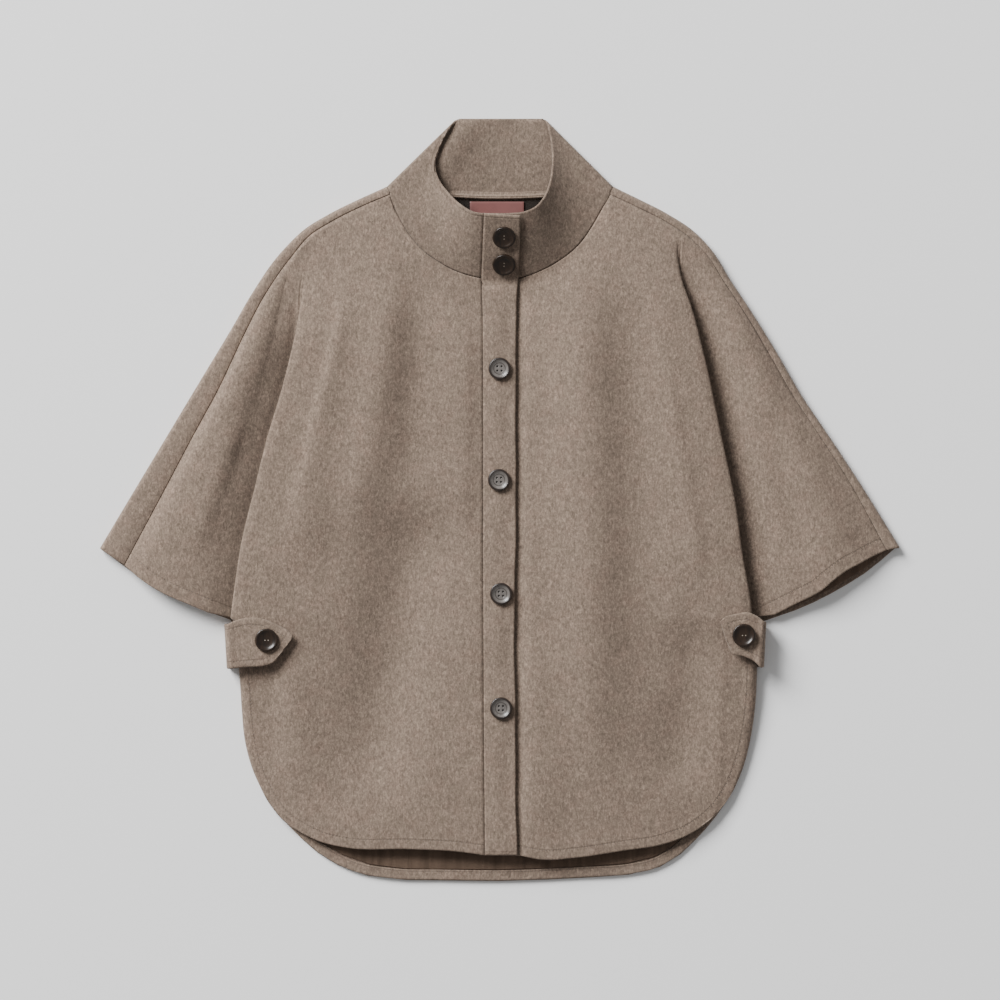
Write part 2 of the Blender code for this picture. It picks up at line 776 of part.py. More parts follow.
def back_grid():
    """The back: flat on the table, rolled up at both overarm edges, with the skirt below the cuffs."""
    sides = {}
    for name, half in HALVES.items():
        shoulder, fold, sleeve = seam_layout(half)
        seam = overarm(half, np.concatenate([shoulder, fold, sleeve]))
        sewn = seam[:, :3]
        rim = seam[:, 3:5]
        inward = unit(sewn[:, :2] - rim)
        reach = np.linalg.norm(sewn[:, :2] - rim, axis=1)
        radius = np.minimum(EDGE_RADIUS, reach * EDGE_SHARE)
        rows = [np.concatenate([sewn[:1], neck_roll(name)])]
        for k in range(1, len(sewn)):
            half_high = np.array([0, 0, sewn[k, 2] / 2])
            middle = np.append(rim[k] + inward[k] * radius[k], half_high[2])
            bulge = np.append(-inward[k] * radius[k], 0)
            rows.append(np.concatenate([sewn[k : k + 1], roll(half_high, -half_high, middle, bulge)]))
        sides[name] = np.array(rows)
    right = sides["right"]
    left = sides["left"]
    n_rows = len(right)
    u = across_shares()
    at = lengths(right[:, -1])
    bottom = cuff_line(right[-1, -1], left[-1, -1])
    flat = coons(neck_back(), bottom, right[:, -1], left[:, -1], u, at / at[-1])
    flat[..., 2] = 0
    upper = np.concatenate([right[:, :-1], flat, left[:, -2::-1]], axis=1)
    first = right.shape[1] - 1 + CUFF_CELLS
    last = first + SKIRT_CELLS
    lower = back_skirt(upper[-1, first : last + 1])
    grid = np.zeros((n_rows + len(lower) - 1, upper.shape[1], 3))
    grid[:n_rows] = upper
    grid[n_rows:, first : last + 1] = lower[1:]
    cells = np.ones((grid.shape[0] - 1, grid.shape[1] - 1), bool)
    cells[n_rows - 1 :, :first] = False
    cells[n_rows - 1 :, last:] = False
    return grid, cells, n_rows, first, last


def cuff_line(right_end, left_end):
    """The back's edge across the cuffs and the body at the armpits, from one rolled edge to the other."""
    parts = []
    for name, end in (("right", right_end), ("left", left_end)):
        rows = columns(HALVES[name]["back_cuff"], "x y").copy()
        rows[-1] = end[:2]
        at = lengths(rows)
        parts.append(spline(at / at[-1], rows, np.linspace(0, 1, CUFF_CELLS + 1)))
    right = parts[0][::-1]
    left = parts[1]
    body = right[-1] + (left[0] - right[-1]) * SKIRT_ACROSS[:, None]
    line = np.concatenate([right[:-1], body, left[1:]])
    return np.concatenate([line, np.zeros((len(line), 1))], axis=1)


def back_outline(name, shares):
    """The back's side edge, just inside the rolled edge of the front, from the armpit to the corner."""
    half = HALVES[name]
    rows = columns(half["side"], "x y").copy()
    rows[0] = columns(half["back_cuff"], "x y")[0]
    at = lengths(rows)
    return spline(at / at[-1], rows, shares)


def back_skirt(top):
    shares = np.array(SKIRT_SHARES)
    right = back_outline("right", shares)
    left = back_outline("left", shares)
    hem = np.concatenate(
        [columns(HALVES["right"]["back_hem"], "x y")[::-1], columns(HALVES["left"]["back_hem"], "x y")[1:]]
    )
    at = lengths(hem)
    bottom = spline(at / at[-1], hem, SKIRT_ACROSS)
    flat = coons(top[:, :2], bottom, right, left, SKIRT_ACROSS, shares)
    flat[0] = top[:, :2]
    return np.concatenate([flat, np.zeros(flat.shape[:2] + (1,))], axis=2)


def back(material):
    """The back: its flat part, and its two rolled edges as nodes of their own, so that its inside stays open."""
    grid, cells, n_rows, _, _ = back_grid()
    normals = np.full(grid.shape, np.nan)
    normals[:n_rows, 0] = UP
    normals[:n_rows, -1] = UP
    normals[grid[..., 2] == 0] = -UP
    seated = grid.copy()
    pull(seated, (0, slice(None)), (1, slice(None)), SEAT)
    pull(seated, (slice(0, n_rows), 0), (slice(0, n_rows), 1), SEAT)
    pull(seated, (slice(0, n_rows), -1), (slice(0, n_rows), -2), SEAT)
    foot = ROLL_STEPS + 1
    column = np.arange(cells.shape[1])
    right = column < foot
    left = column >= len(column) - foot
    wall("back_edge_right", seated, WOOL, material, cells & right, -1, normals)
    wall("back_edge_left", seated, WOOL, material, cells & left, -1, normals)
    pull(seated, (slice(0, n_rows), foot), (slice(0, n_rows), foot + 1), GAP)
    pull(seated, (slice(0, n_rows), -1 - foot), (slice(0, n_rows), -2 - foot), GAP)
    return wall("back", seated, WOOL, material, cells & ~right & ~left, -1, normals)


def collar(material):
    """The funnel collar: straight lines carried from the neck seam to the free top edge."""
    foot = []
    head = []
    for name in ("right", "left"):
        neck = neck_seam(HALVES[name])
        rim = along(COLLAR_TOP[name], "x y z", np.linspace(0, 0.95, NECK_STEPS + 1))
        out = HALVES[name]["out"]
        middle = np.array([out * COLLAR_CORNER[0], COLLAR_CORNER[1], COLLAR_CORNER[2]])
        bulge = np.array([out * COLLAR_ROLL_OUT[0], COLLAR_ROLL_OUT[1], 0])
        lean = np.array([out * 2.0, -2.4, COLLAR_CORNER[2]])
        foot.append(np.concatenate([neck, neck_roll(name)]))
        head.append(np.concatenate([rim, roll(lean, -lean, middle, bulge)]))
    shares = across_shares()[1:-1, None]
    foot_back = neck_back()[1:-1]
    start = head[0][-1]
    end = head[1][-1]
    head_back = start + (end - start) * shares
    head_back[:, 1] += (COLLAR_BACK_EDGE[1] - start[1]) * soft_step(8 * shares * (1 - shares))[:, 0]
    lower = np.concatenate([foot[0], foot_back, foot[1][::-1]])
    upper = np.concatenate([head[0], head_back, head[1][::-1]])
    lower[:, 2] = np.maximum(lower[:, 2], 0)
    upper[:, 2] = np.maximum(upper[:, 2], 0)
    t = np.linspace(0, 1, COLLAR_STEPS + 1)[:, None, None]
    grid = lower[None] * (1 - t) + upper[None] * t
    normals = np.full(grid.shape, np.nan)
    flat = grid[..., 2] < 0.01
    normals[flat] = -UP
    seated = grid.copy()
    pull(seated, (0, slice(None)), (1, slice(None)), SEAT)
    pull(seated, (slice(None), 0), (slice(None), 1), SEAT)
    return wall("collar", seated, COLLAR_WALL, material, None, 1, normals)


def placket_grid():
    t = np.array([0, 0.12, 0.5, 0.88, 1.0])
    left = PLACKET["left"][:, None] + SEAT
    x = left + (PLACKET["right"][:, None] - left) * t
    y = np.repeat(PLACKET["y"][:, None], len(t), axis=1)
    y[0] -= 2.2 * t
    z = PLACKET["height"][:, None] + PLACKET_PROUD + 0 * t
    z[0] -= 2.2 * t * 0.46
    return np.stack([x, y, z], axis=2)


def placket(material):
    return wall("placket", placket_grid(), PLACKET_WALL, material, None, 1)


def inset_loop(loop, distance):
    """Moves a closed line of points inwards, square to its edges; the loop runs counterclockwise."""
    before = unit(loop - np.roll(loop, 1, axis=0))
    after = unit(np.roll(loop, -1, axis=0) - loop)
    side_before = np.stack([-before[:, 1], before[:, 0]], axis=1)
    side_after = np.stack([-after[:, 1], after[:, 0]], axis=1)
    both = unit(side_before + side_after)
    scale = 1 / np.maximum((both * side_after).sum(axis=1), 0.5)
    return loop + both * (distance * scale)[:, None]


def lining(material):
    """The lining on the inside of the back: the flat points of the back, drawn in from its edges."""
    grid, cells, n_rows, first, last = back_grid()
    begin = ROLL_STEPS + 1
    end = grid.shape[1] - begin
    flat = grid[:, begin:end, :2].copy()
    inner = cells[:, begin : end - 1]
    first -= begin
    last -= begin
    rows = len(flat)
    ring = [(r, 0) for r in range(0, n_rows)]
    ring += [(n_rows - 1, c) for c in range(1, first + 1)]
    ring += [(r, first) for r in range(n_rows, rows)]
    ring += [(rows - 1, c) for c in range(first + 1, last + 1)]
    ring += [(r, last) for r in range(rows - 2, n_rows - 2, -1)]
    ring += [(n_rows - 1, c) for c in range(last + 1, flat.shape[1])]
    ring += [(r, flat.shape[1] - 1) for r in range(n_rows - 2, -1, -1)]
    ring += [(0, c) for c in range(flat.shape[1] - 2, 0, -1)]
    loop = np.array([flat[p] for p in ring])
    distance = np.full(len(ring), LINING_IN)
    distance[[r == rows - 1 for r, c in ring]] = LINING_IN_HEM
    distance[[n_rows - 1 <= r < n_rows + 2 and c in (first, last) for r, c in ring]] = LINING_IN_ARMPIT
    moved = inset_loop(loop, distance)
    for place, p in zip(moved, ring):
        flat[p] = place
    points = np.concatenate([flat, np.full(flat.shape[:2] + (1,), LINING_BASE + LINING_WALL)], axis=2)
    return wall("back_lining", points, LINING_WALL, material, inner, 1, np.zeros(points.shape) + UP)


def hem_facing(material):
    """The wool strip inside the back hem: the hem's own points and the same points drawn in."""
    grid, _, _, first, last = back_grid()
    hem = grid[-1, first : last + 1, :2]
    tangent = unit(np.gradient(hem, axis=0))
    inward = np.stack([-tangent[:, 1], tangent[:, 0]], axis=1)
    points = np.stack([hem + inward * distance for distance in FACING_IN])[:, 2:-2]
    points = np.concatenate([points, np.full(points.shape[:2] + (1,), LINING_BASE + FACING_WALL)], axis=2)
    return wall("back_hem_facing", points, FACING_WALL, material, None, 1, np.zeros(points.shape) + UP)


def surface_height(grid, cells, x, y):
    """The highest point of a panel's outer faces above each place."""
    corners = []
    for r, c in zip(*np.nonzero(cells)):
        a, b, d, e = grid[r, c], grid[r + 1, c], grid[r + 1, c + 1], grid[r, c + 1]
        corners += [(a, b, d), (a, d, e), (a, b, e), (b, d, e)]
    corners = np.array(corners)
    best = np.full(len(x), -1e9)
    a, b, c = corners[:, 0], corners[:, 1], corners[:, 2]
    area = (b[:, 0] - a[:, 0]) * (c[:, 1] - a[:, 1]) - (b[:, 1] - a[:, 1]) * (c[:, 0] - a[:, 0])
    keep = np.abs(area) > 1e-6
    a, b, c, area = a[keep], b[keep], c[keep], area[keep]
    for i, (px, py) in enumerate(zip(x, y)):
        s = ((px - a[:, 0]) * (c[:, 1] - a[:, 1]) - (py - a[:, 1]) * (c[:, 0] - a[:, 0])) / area
        t = ((b[:, 0] - a[:, 0]) * (py - a[:, 1]) - (b[:, 1] - a[:, 1]) * (px - a[:, 0])) / area
        inside = (s >= -1e-6) & (t >= -1e-6) & (s + t <= 1 + 1e-6)
        if inside.any():
            z = a[inside, 2] + s[inside] * (b - a)[inside, 2] + t[inside] * (c - a)[inside, 2]
            best[i] = z.max()
    return best


def tab_grid(side):
    """A waist tab: over the front from its point, round the side edge and in to the back's edge."""
    rows = TABS[side]
    out = HALVES[side]["out"]
    grid, cells, _, _ = front_grid(side)
    t = np.linspace(0, 1, TAB_ROWS + 1)
    x = rows["upper_x"][:, None] + (rows["lower_x"] - rows["upper_x"])[:, None] * t
    y = rows["upper_y"][:, None] + (rows["lower_y"] - rows["upper_y"])[:, None] * t
    top = []
    for row_x, row_y, lift in zip(x, y, rows["lift"]):
        look = np.linspace(row_x.min() - TAB_LOOK, row_x.max() + TAB_LOOK, 6)
        under_x, under_y = np.meshgrid(look, np.linspace(row_y[0], row_y[-1], 6))
        under = surface_height(grid, cells, under_x.ravel(), under_y.ravel()).max()
        top.append(under + TAB_WALL + TAB_CLEAR + lift if under > 0 else top[-1])
    top = np.array(top)
    base = np.stack([x, y, np.repeat(top[:, None], len(t), axis=1)], axis=2)[:-1]
    outline = back_outline(side, np.linspace(0, 1, 60))
    foot_y = np.minimum(y[-1], outline[0, 1] - 2)
    turn = []
    for reach, share, above, drop in zip(*TAB_TURN.values()):
        side_y = y[-1] + (foot_y - y[-1]) * drop
        turn.append(np.stack([x[-1] - out * reach, side_y, top[-1] * share + above + 0 * side_y], axis=1))
    inner_x = np.interp(-foot_y, -outline[:, 1], outline[:, 0]) + out * TAB_TO_BACK
    turn.append(np.stack([inner_x, foot_y, 0 * foot_y], axis=1))
    return np.concatenate([base, np.array(turn)])


def tab(side, material):
    return wall("tab_" + side, tab_grid(side), TAB_WALL, material, None, -HALVES[side]["out"])


def label(material):
    x = np.array(LABEL_X)
    y = np.array(LABEL_Y)
    z = LINING_BASE + LINING_WALL + GAP + LABEL_WALL
    points = np.array([[(x[0], y[1], z), (x[1], y[1], z)], [(x[0], y[0], z), (x[1], y[0], z)]])
    return wall("neck_label", points, LABEL_WALL, material, None, 1)


# A button's turned outline as shares of its radius and thickness, from the centre of its back
BUTTON_OUTLINE = table(
    "radius height",
    (0.0, 0.0),
    (0.72, 0.0),
    (1.0, 0.42),
    (0.98, 0.8),
    (0.86, 1.0),
    (0.7, 0.86),
    (0.56, 0.6),
    (0.0, 0.5),
)


def button(name, across, place, tilt, material):
    """A turned button with a raised rim and a dished middle, its back a small gap above the cloth."""
    radius = BUTTON_OUTLINE["radius"] * across / 2
    height = BUTTON_OUTLINE["height"] * BUTTON_THICK
    angle = np.linspace(0, 2 * math.pi, BUTTON_SIDES, endpoint=False)
    points = [(0, 0, height[0])]
    for r, h in zip(radius[1:-1], height[1:-1]):
        points += [(r * math.cos(a), r * math.sin(a), h) for a in angle]
    points.append((0, 0, height[-1]))
    points = np.array(points)
    rings = len(radius) - 2
    faces = []
    n = BUTTON_SIDES
    last = len(points) - 1
    for k in range(n):
        after = (k + 1) % n
        faces.append([0, 1 + after, 1 + k])
        for ring in range(rings - 1):
            a = 1 + ring * n
            b = a + n
            faces.append([a + k, a + after, b + after, b + k])
        top = 1 + (rings - 1) * n
        faces.append([top + k, top + after, last])
    cos, sin = math.cos(tilt), math.sin(tilt)
    turned = points.copy()
    turned[:, 1] = points[:, 1] * cos - points[:, 2] * sin
    turned[:, 2] = points[:, 1] * sin + points[:, 2] * cos
    return mesh_object(name, turned + np.array(place), faces, material)


def placket_top(y):
    return float(by_y(PLACKET, "height", y)) + PLACKET_PROUD


def buttons(materials):
    for name, x, y, colour in BUTTONS:
        across = DARK_ACROSS if colour == "dark" else GREY_ACROSS
        reach = across * 0.36
        slope = (placket_top(y + reach) - placket_top(y - reach)) / (2 * reach)
        tilt = math.atan(slope)
        crown = max(placket_top(y + d) - placket_top(y) - slope * d for d in np.linspace(-reach, reach, 9))
        lift = (GAP + max(crown, 0)) / math.cos(tilt)
        button(name, across, (x, y, placket_top(y) + lift), tilt, materials[colour])
    for side, (x, y) in TAB_BUTTONS.items():
        tab = tab_grid(side)
        near = np.abs(tab[..., 0] - x) < DARK_ACROSS / 2 + 3
        button("tab_button_" + side, DARK_ACROSS, (x, y, tab[..., 2][near].max() + GAP), 0, materials["dark"])


def material(name):
    made = bpy.data.materials.new(name)
    made.use_nodes = True
    shader = made.node_tree.nodes["Principled BSDF"]
    shader.inputs["Base Color"].default_value = COLOURS[name]
    shader.inputs["Roughness"].default_value = ROUGHNESS[name]
    return made


def main():
    for old in list(bpy.data.objects):
        bpy.data.objects.remove(old)
    materials = {name: material(name) for name in COLOURS}
    wool = materials["wool"]
    back(wool)
    front("right", wool)
    front("left", wool)
    collar(wool)
    placket(wool)
    lining(materials["lining"])
    hem_facing(wool)
    label(materials["label"])
    tab("right", wool)
    tab("left", wool)
    buttons(materials)


main()
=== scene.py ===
"""The looks of a felted-wool cape-poncho, laid flat on its back, built round its CAD frame.

X runs across the garment, Y from the hem up to the collar, Z up from the table. The tables hold
millimetres; a mesh is turned to metres when it is made. "right" and "left" are the wearer's.
"""

import math

import bpy
import numpy as np
from bpy.props import FloatProperty, FloatVectorProperty, PointerProperty
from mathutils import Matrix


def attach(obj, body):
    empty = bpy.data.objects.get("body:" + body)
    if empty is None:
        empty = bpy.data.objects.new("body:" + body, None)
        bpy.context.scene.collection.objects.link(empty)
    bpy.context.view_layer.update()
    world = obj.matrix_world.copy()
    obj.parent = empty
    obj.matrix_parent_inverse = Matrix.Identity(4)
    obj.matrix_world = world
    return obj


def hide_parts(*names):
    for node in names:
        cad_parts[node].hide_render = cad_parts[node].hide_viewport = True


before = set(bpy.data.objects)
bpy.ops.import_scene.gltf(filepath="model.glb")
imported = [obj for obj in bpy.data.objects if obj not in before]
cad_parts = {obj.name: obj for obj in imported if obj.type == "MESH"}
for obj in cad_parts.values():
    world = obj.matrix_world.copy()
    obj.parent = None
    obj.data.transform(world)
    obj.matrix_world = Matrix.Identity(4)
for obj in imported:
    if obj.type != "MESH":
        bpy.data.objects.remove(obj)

bl_info = {
    "name": "Wool poncho",
    "version": (1, 0, 0),
    "blender": (4, 5, 0),
    "location": "3D View > Sidebar > Poncho",
    "description": "Cloth, lining, buttons and stitching of a laid-out cape-poncho",
    "category": "Object",
}

MM = 0.001
UP = np.array([0.0, 0.0, 1.0])

# Where the rows of the panels lie, and the fixed heights
PLACKET_TOP_Y = 284.0
NECK_Y = 221.0
NECK_BACK_Y = 300.5
CUFF_Y = -118.0
HEM_Y = -354.5
LINING_BASE = 2.5
SIDE_FOOT = 2.7
PLACKET_PROUD = 1.0
PLACKET_CROWN = 0.5

# How the left front dips under the placket, and over what share of their width the fronts lie level
UNDERLAP_DROP = 3.5
UNDERLAP_FROM = 17.5
UNDERLAP_OVER = 13.0
LEVEL_OVER = 0.25
LEVEL_UNDER_PLACKET = 0.14

# The half turn at the neck's corner: its half height, its middle and its bulge, x outwards
NECK_ROLL = ((1.2, -0.8, 5.4), (109.2, 308.8, 5.4), (3.5, 4.5, 0.0))

# The back's edge, rolled up to the overarm seam
EDGE_RADIUS = 4.6
EDGE_SHARE = 0.72
ROLL_BLEND = 22.0

# How far the lining, the strip inside the hem and the strip's stitches lie in from the back's edge
LINING_IN = 4.5
LINING_IN_NECK = 1.5
LINING_IN_HEM = 11.6
LINING_IN_ARMPIT = 12.0
FACING_IN = (11.0, 9.0, 6.0, 3.0, 0.9)
FACING_STITCH_IN = 9.2
FACING_COLS = 181

# How finely the surfaces are worked out
UPPER_ROWS = 100
SKIRT_ROWS = 58
NECK_COLS = 44
SHOULDER_COLS = 14
SLEEVE_COLS = 24
CHAIN_STEPS = 4
ROLL_STEPS = 10
COLLAR_ROWS = 24
RIM_STEPS = 4
RIM = 1.0
THIN_SEAM = 0.15
SEAM_GAP = 0.06

# The cloth's edge radius where it isn't the panels'
RIMS = {"collar": 1.15, "placket": 1.3, "tab": 1.1, "facing": 0.6, "lining": 0.4, "label": 0.35, "ridge": 0.3}

# A distance from a stitch line at which its groove doesn't show
NO_LINE = 30.0


def table(names, *rows):
    """The columns of a short table, each an array under its own name."""
    return dict(zip(names.split(), np.array(rows, float).T))


# The height of the sewn front edge down the garment, and the placket's two edges
PLACKET = table(
    "y left right height",
    (PLACKET_TOP_Y, -16.0, 20.5, 46.0),
    (262, -17.0, 20.0, 36.0),
    (241, -17.8, 19.4, 26.3),
    (NECK_Y, -18.6, 18.6, 17.0),
    (206, -18.0, 17.0, 17.0),
    (150, -17.2, 16.2, 17.6),
    (90, -17.0, 16.2, 18.0),
    (20, -17.0, 16.0, 18.3),
    (-60, -17.0, 15.8, 18.3),
    (-150, -16.6, 14.4, 18.0),
    (-230, -16.2, 15.8, 17.5),
    (-300, -15.6, 16.2, 16.8),
    (HEM_Y, -15.2, 17.2, 16.0),
)

# Each half of the garment. neck: the front neck seam, outwards from the placket. overarm: the
# seam from the neck to the cuff, with the silhouette beside it. fold: where the body lies over
# the sleeve, with the height of each and the depth of the tuck. cuff and back_cuff: the two
# layers' edges. side: the side edge with the height of its rolled edge. hem and back_hem: from
# the centre to the side.
HALVES = {
    "right": {
        "out": -1,
        "neck": table(
            "x y z",
            (-18.6, 221, 17.0),
            (-34, 224.7, 17.2),
            (-48, 230, 17.2),
            (-62, 238, 17.0),
            (-76, 248, 16.5),
            (-88, 261.5, 15.6),
            (-98, 277, 14.2),
            (-105, 291, 12.7),
            (-110, 305, 11.3),
        ),
        "overarm": table(
            "x y z edge_x edge_y",
            (-110, 305, 11.3, -112.5, 313.2),
            (-138.6, 292.8, 11.2, -142, 300),
            (-168, 278, 11.0, -172, 285),
            (-191, 263, 11.0, -196, 270),
            (-208, 243, 10.9, -217, 249.5),
            (-238, 199, 10.8, -248.5, 205.3),
            (-254, 168, 10.6, -265.9, 175.2),
            (-282, 109, 10.4, -299.4, 119.5),
            (-308, 61, 10.2, -327.5, 72.7),
            (-336, 8, 10.0, -358.3, 21.4),
            (-375, -65, 10.0, -400, -48.5),
        ),
        "fold": table(
            "x y body sleeve tuck",
            (-181, 270, 11.0, 11.0, 0),
            (-187, 246, 13.5, 10.6, 0),
            (-193, 216, 17.0, 10.0, 2),
            (-202, 168, 21.0, 9.0, 6),
            (-215, 114, 23.0, 8.2, 12),
            (-232, 56, 23.5, 7.8, 17),
            (-243, 11, 23.5, 7.6, 21),
            (-255, -37, 23.0, 7.6, 24),
            (-263, -87, 22.0, 7.6, 26),
            (-267, CUFF_Y, 21.0, 7.6, 26),
        ),
        "cuff": table(
            "x y z",
            (-291.3, -112.3, 15.8),
            (-309, -105, 17.6),
            (-342, -90, 17.8),
            (-364, -75, 14.0),
            (-375, -65, 10.0),
        ),
        "back_cuff": table(
            "x y",
            (-269, -120),
            (-309, -105),
            (-342, -90),
            (-364, -75),
            (-396, -52),
        ),
        "side": table(
            "x y height",
            (-267, CUFF_Y, 21.0),
            (-264, -145, 18.2),
            (-260, -180, 14.0),
            (-258, -210, 11.5),
            (-255, -240, 9.5),
            (-247, -270, 7.5),
            (-238.5, -289, 6.5),
        ),
        "hem": table(
            "x y z",
            (-15.2, HEM_Y, 16.0),
            (-41, -351, 16.0),
            (-89, -348.5, 15.5),
            (-154, -347, 13.0),
            (-180, -341, 11.0),
            (-200, -331.5, 9.5),
            (-217, -320, 8.3),
            (-231, -303, 7.0),
            (-238.5, -289, 6.5),
        ),
        "back_hem": table(
            "x y",
            (0, -381),
            (-60, -380.3),
            (-108, -379),
            (-146, -372),
            (-173, -359),
            (-211, -326),
            (-228, -307),
            (-238.5, -289),
        ),
        "in_angle": (28, 12, 3, 0),
        "out_angle": (-45, -22, -8, 13),
        "crown": (8.0, 0.77),
        "rise": (3.4, 8.2),
    },
    "left": {
        "out": 1,
        "neck": table(
            "x y z",
            (-21, 221, 14.0),
            (4, 221, 14.1),
            (19.5, 221, 14.2),
            (27, 223.2, 15.2),
            (41, 228.7, 16.7),
            (60, 239.2, 17.0),
            (79, 255, 16.4),
            (91.5, 272.5, 14.8),
            (101.5, 290, 12.9),
            (110, 305, 11.3),
        ),
        "overarm": table(
            "x y z edge_x edge_y",
            (110, 305, 11.3, 112.5, 313.2),
            (136.5, 292.6, 11.2, 140, 300),
            (165.5, 277.8, 11.0, 169, 285),
            (187.5, 263.3, 11.0, 192.5, 269.5),
            (205.5, 246, 10.9, 211, 250.5),
            (224, 217.6, 10.8, 229.5, 221),
            (245.5, 185.5, 10.6, 251, 188.5),
            (269.5, 145, 10.4, 275.9, 148.4),
            (295, 100.5, 10.2, 301.3, 104.5),
            (314, 72, 10.1, 320.5, 76),
            (349.5, 17, 10.0, 357, 21),
            (386, -50, 10.0, 399.5, -47.5),
        ),
        "fold": table(
            "x y body sleeve tuck",
            (176, 272, 11.0, 11.0, 0),
            (175, 252, 15.5, 10.0, 2),
            (180, 220, 20.0, 8.6, 5),
            (188, 197, 22.0, 8.0, 8),
            (203, 140, 24.0, 7.6, 14),
            (219, 64, 25.0, 7.4, 20),
            (233, -3, 25.0, 7.4, 24),
            (241, -60, 24.5, 7.4, 26),
            (247, -93, 23.5, 7.4, 26),
            (250, CUFF_Y, 22.0, 7.4, 26),
        ),
        "cuff": table(
            "x y z",
            (274.5, -114.5, 10.0),
            (297, -103, 13.5),
            (320, -91, 17.0),
            (333, -80, 18.5),
            (345, -71, 18.5),
            (358, -64, 17.0),
            (371, -57, 13.5),
            (386, -50, 10.0),
        ),
        "back_cuff": table(
            "x y",
            (258, -123),
            (308, -105),
            (339, -89),
            (365, -73),
            (395, -52),
        ),
        "side": table(
            "x y height",
            (250, CUFF_Y, 22.0),
            (255, -138, 18.6),
            (256.5, -180, 14.0),
            (254.5, -210, 11.5),
            (250, -240, 9.5),
            (242, -270, 7.5),
            (234, -289, 6.5),
        ),
        "hem": table(
            "x y z",
            (-21, HEM_Y, 13.2),
            (18, -355, 13.3),
            (43, -359, 15.6),
            (76, -357, 15.3),
            (123.5, -350, 14.0),
            (162, -344, 12.0),
            (190, -333.5, 10.0),
            (213, -317, 8.3),
            (226, -302, 7.0),
            (234, -289, 6.5),
        ),
        "back_hem": table(
            "x y",
            (0, -381),
            (76, -378),
            (133, -374),
            (152, -370),
            (171, -361),
            (200, -335),
            (222, -308),
            (234, -289),
        ),
        "in_angle": (28, 10, 4, 0),
        "out_angle": (-45, -28, -12, 8),
        "crown": (5.0, 0.5),
        "rise": (1.0, 3.0),
    },
}

# The collar's free top edge, outwards from the placket, and where its rolled sides come down
COLLAR_TOP = {
    "right": table(
        "x y z",
        (-16.2, 284, 46.0),
        (-27, 286, 43.5),
        (-40, 294, 36.0),
        (-54, 309, 23.5),
        (-63, 324, 16.0),
        (-65, 337, 12.6),
        (-59, 355, 9.8),
        (-50, 372, 7.6),
        (-47.4, 376.8, 5.4),
        (-44.8, 379.7, 2.1),
        (-41, 381.2, 0),
    ),
    "left": table(
        "x y z",
        (-19, 284.5, 42.2),
        (4, 284.5, 42.4),
        (20, 285.2, 42.6),
        (34, 290, 42.5),
        (43, 299, 39.0),
        (49, 312, 33.0),
        (52, 327, 27.0),
        (52, 354, 16.0),
        (49.0, 371, 9.2),
        (47.9, 376.6, 5.4),
        (46.2, 379.6, 2.1),
        (43, 381.2, 0),
    ),
}
COLLAR_REST = 7
COLLAR_LIFT = 4.5

# The waist tabs, from the point to the side: their upper and lower edges, and the lift of the point
TABS = {
    "right": table(
        "upper_x upper_y lower_x lower_y lift",
        (-206.4, -135.0, -207.4, -138.2, 2.4),
        (-212, -129.7, -216.2, -150.8, 1.5),
        (-221.8, -124.5, -227.4, -163.0, 0.7),
        (-235.8, -118.5, -237, -165.6, 0.1),
        (-251.3, -117.1, -252, -166.4, 0),
        (-263, -119.8, -262, -167.2, 0),
        (-274.8, -123.5, -272.2, -168.4, 0),
    ),
    "left": table(
        "upper_x upper_y lower_x lower_y lift",
        (219.5, -120.8, 221.5, -128.0, 1.4),
        (224.5, -116.2, 226.5, -143.0, 0.8),
        (234, -113.6, 232, -153.4, 0.3),
        (247, -111.9, 243, -156.0, 0),
        (256, -115.5, 252, -160.0, 0),
        (265.4, -120.5, 263, -167.0, 0),
    ),
}
TAB_CLEAR = 0.4
TAB_LOOK = 7
TAB_TO_BACK = 1.2

# The tab's turn round the side edge: reach outwards, height as a share of the top and above it, and
# how far down to the back's edge it has come
TAB_TURN = table(
    "reach share above drop",
    (2.5, 1, -0.6, 0),
    (0.6, 1, -3.0, 0.1),
    (0, 0.5, 0, 0.5),
    (0.4, 0, 2.2, 1),
    (2.6, 0, 0, 1),
)

# Creases: a curved line of three points, its half width and its height, troughs below nought
CREASES = table(
    "x0 y0 x1 y1 x2 y2 width height",
    (-160, 240, -176, 80, -206, -90, 25, 2.2),
    (-108, 250, -120, 100, -154, -60, 25, 3.4),
    (-76, 262, -84, 140, -86, -20, 24, -2.0),
    (-66, 20, -106, -120, -142, -330, 38, -5.6),
    (-34, 200, -36, 40, -34, -60, 16, 1.2),
    (82, 250, 88, 40, 98, -340, 30, 4.0),
    (130, 240, 132, 60, 150, -260, 25, -1.4),
    (168, 200, 198, 10, 212, -100, 22, 1.8),
    (192, -110, 186, -210, 172, -300, 27, -3.0),
    (30, -130, 44, -230, 40, -350, 18, 1.2),
    (-205, -150, -212, -220, -196, -300, 18, 1.4),
)
SLEEVE_CREASES = table(
    "x0 y0 x1 y1 x2 y2 width height",
    (-258, 90, -284, 10, -310, -60, 10, 0.9),
    (262, 96, 286, 30, 306, -70, 11, -1.2),
    (300, 40, 322, -10, 352, -46, 12, 1.0),
)
PLACKET_CREASES = table(
    "x0 y0 x1 y1 x2 y2 width height",
    (-30, 216, 0, 217, 30, 219, 2.6, -0.9),
    (8, 200, 10, 175, 9, 150, 5, -0.6),
    (9, 108, 6, 80, 9, 46, 5, -0.5),
    (9, -2, 6, -30, 9, -66, 5, -0.5),
    (9, -116, 7, -150, 9, -180, 5, -0.5),
    (8, -230, 6, -270, 9, -320, 5, -0.5),
)

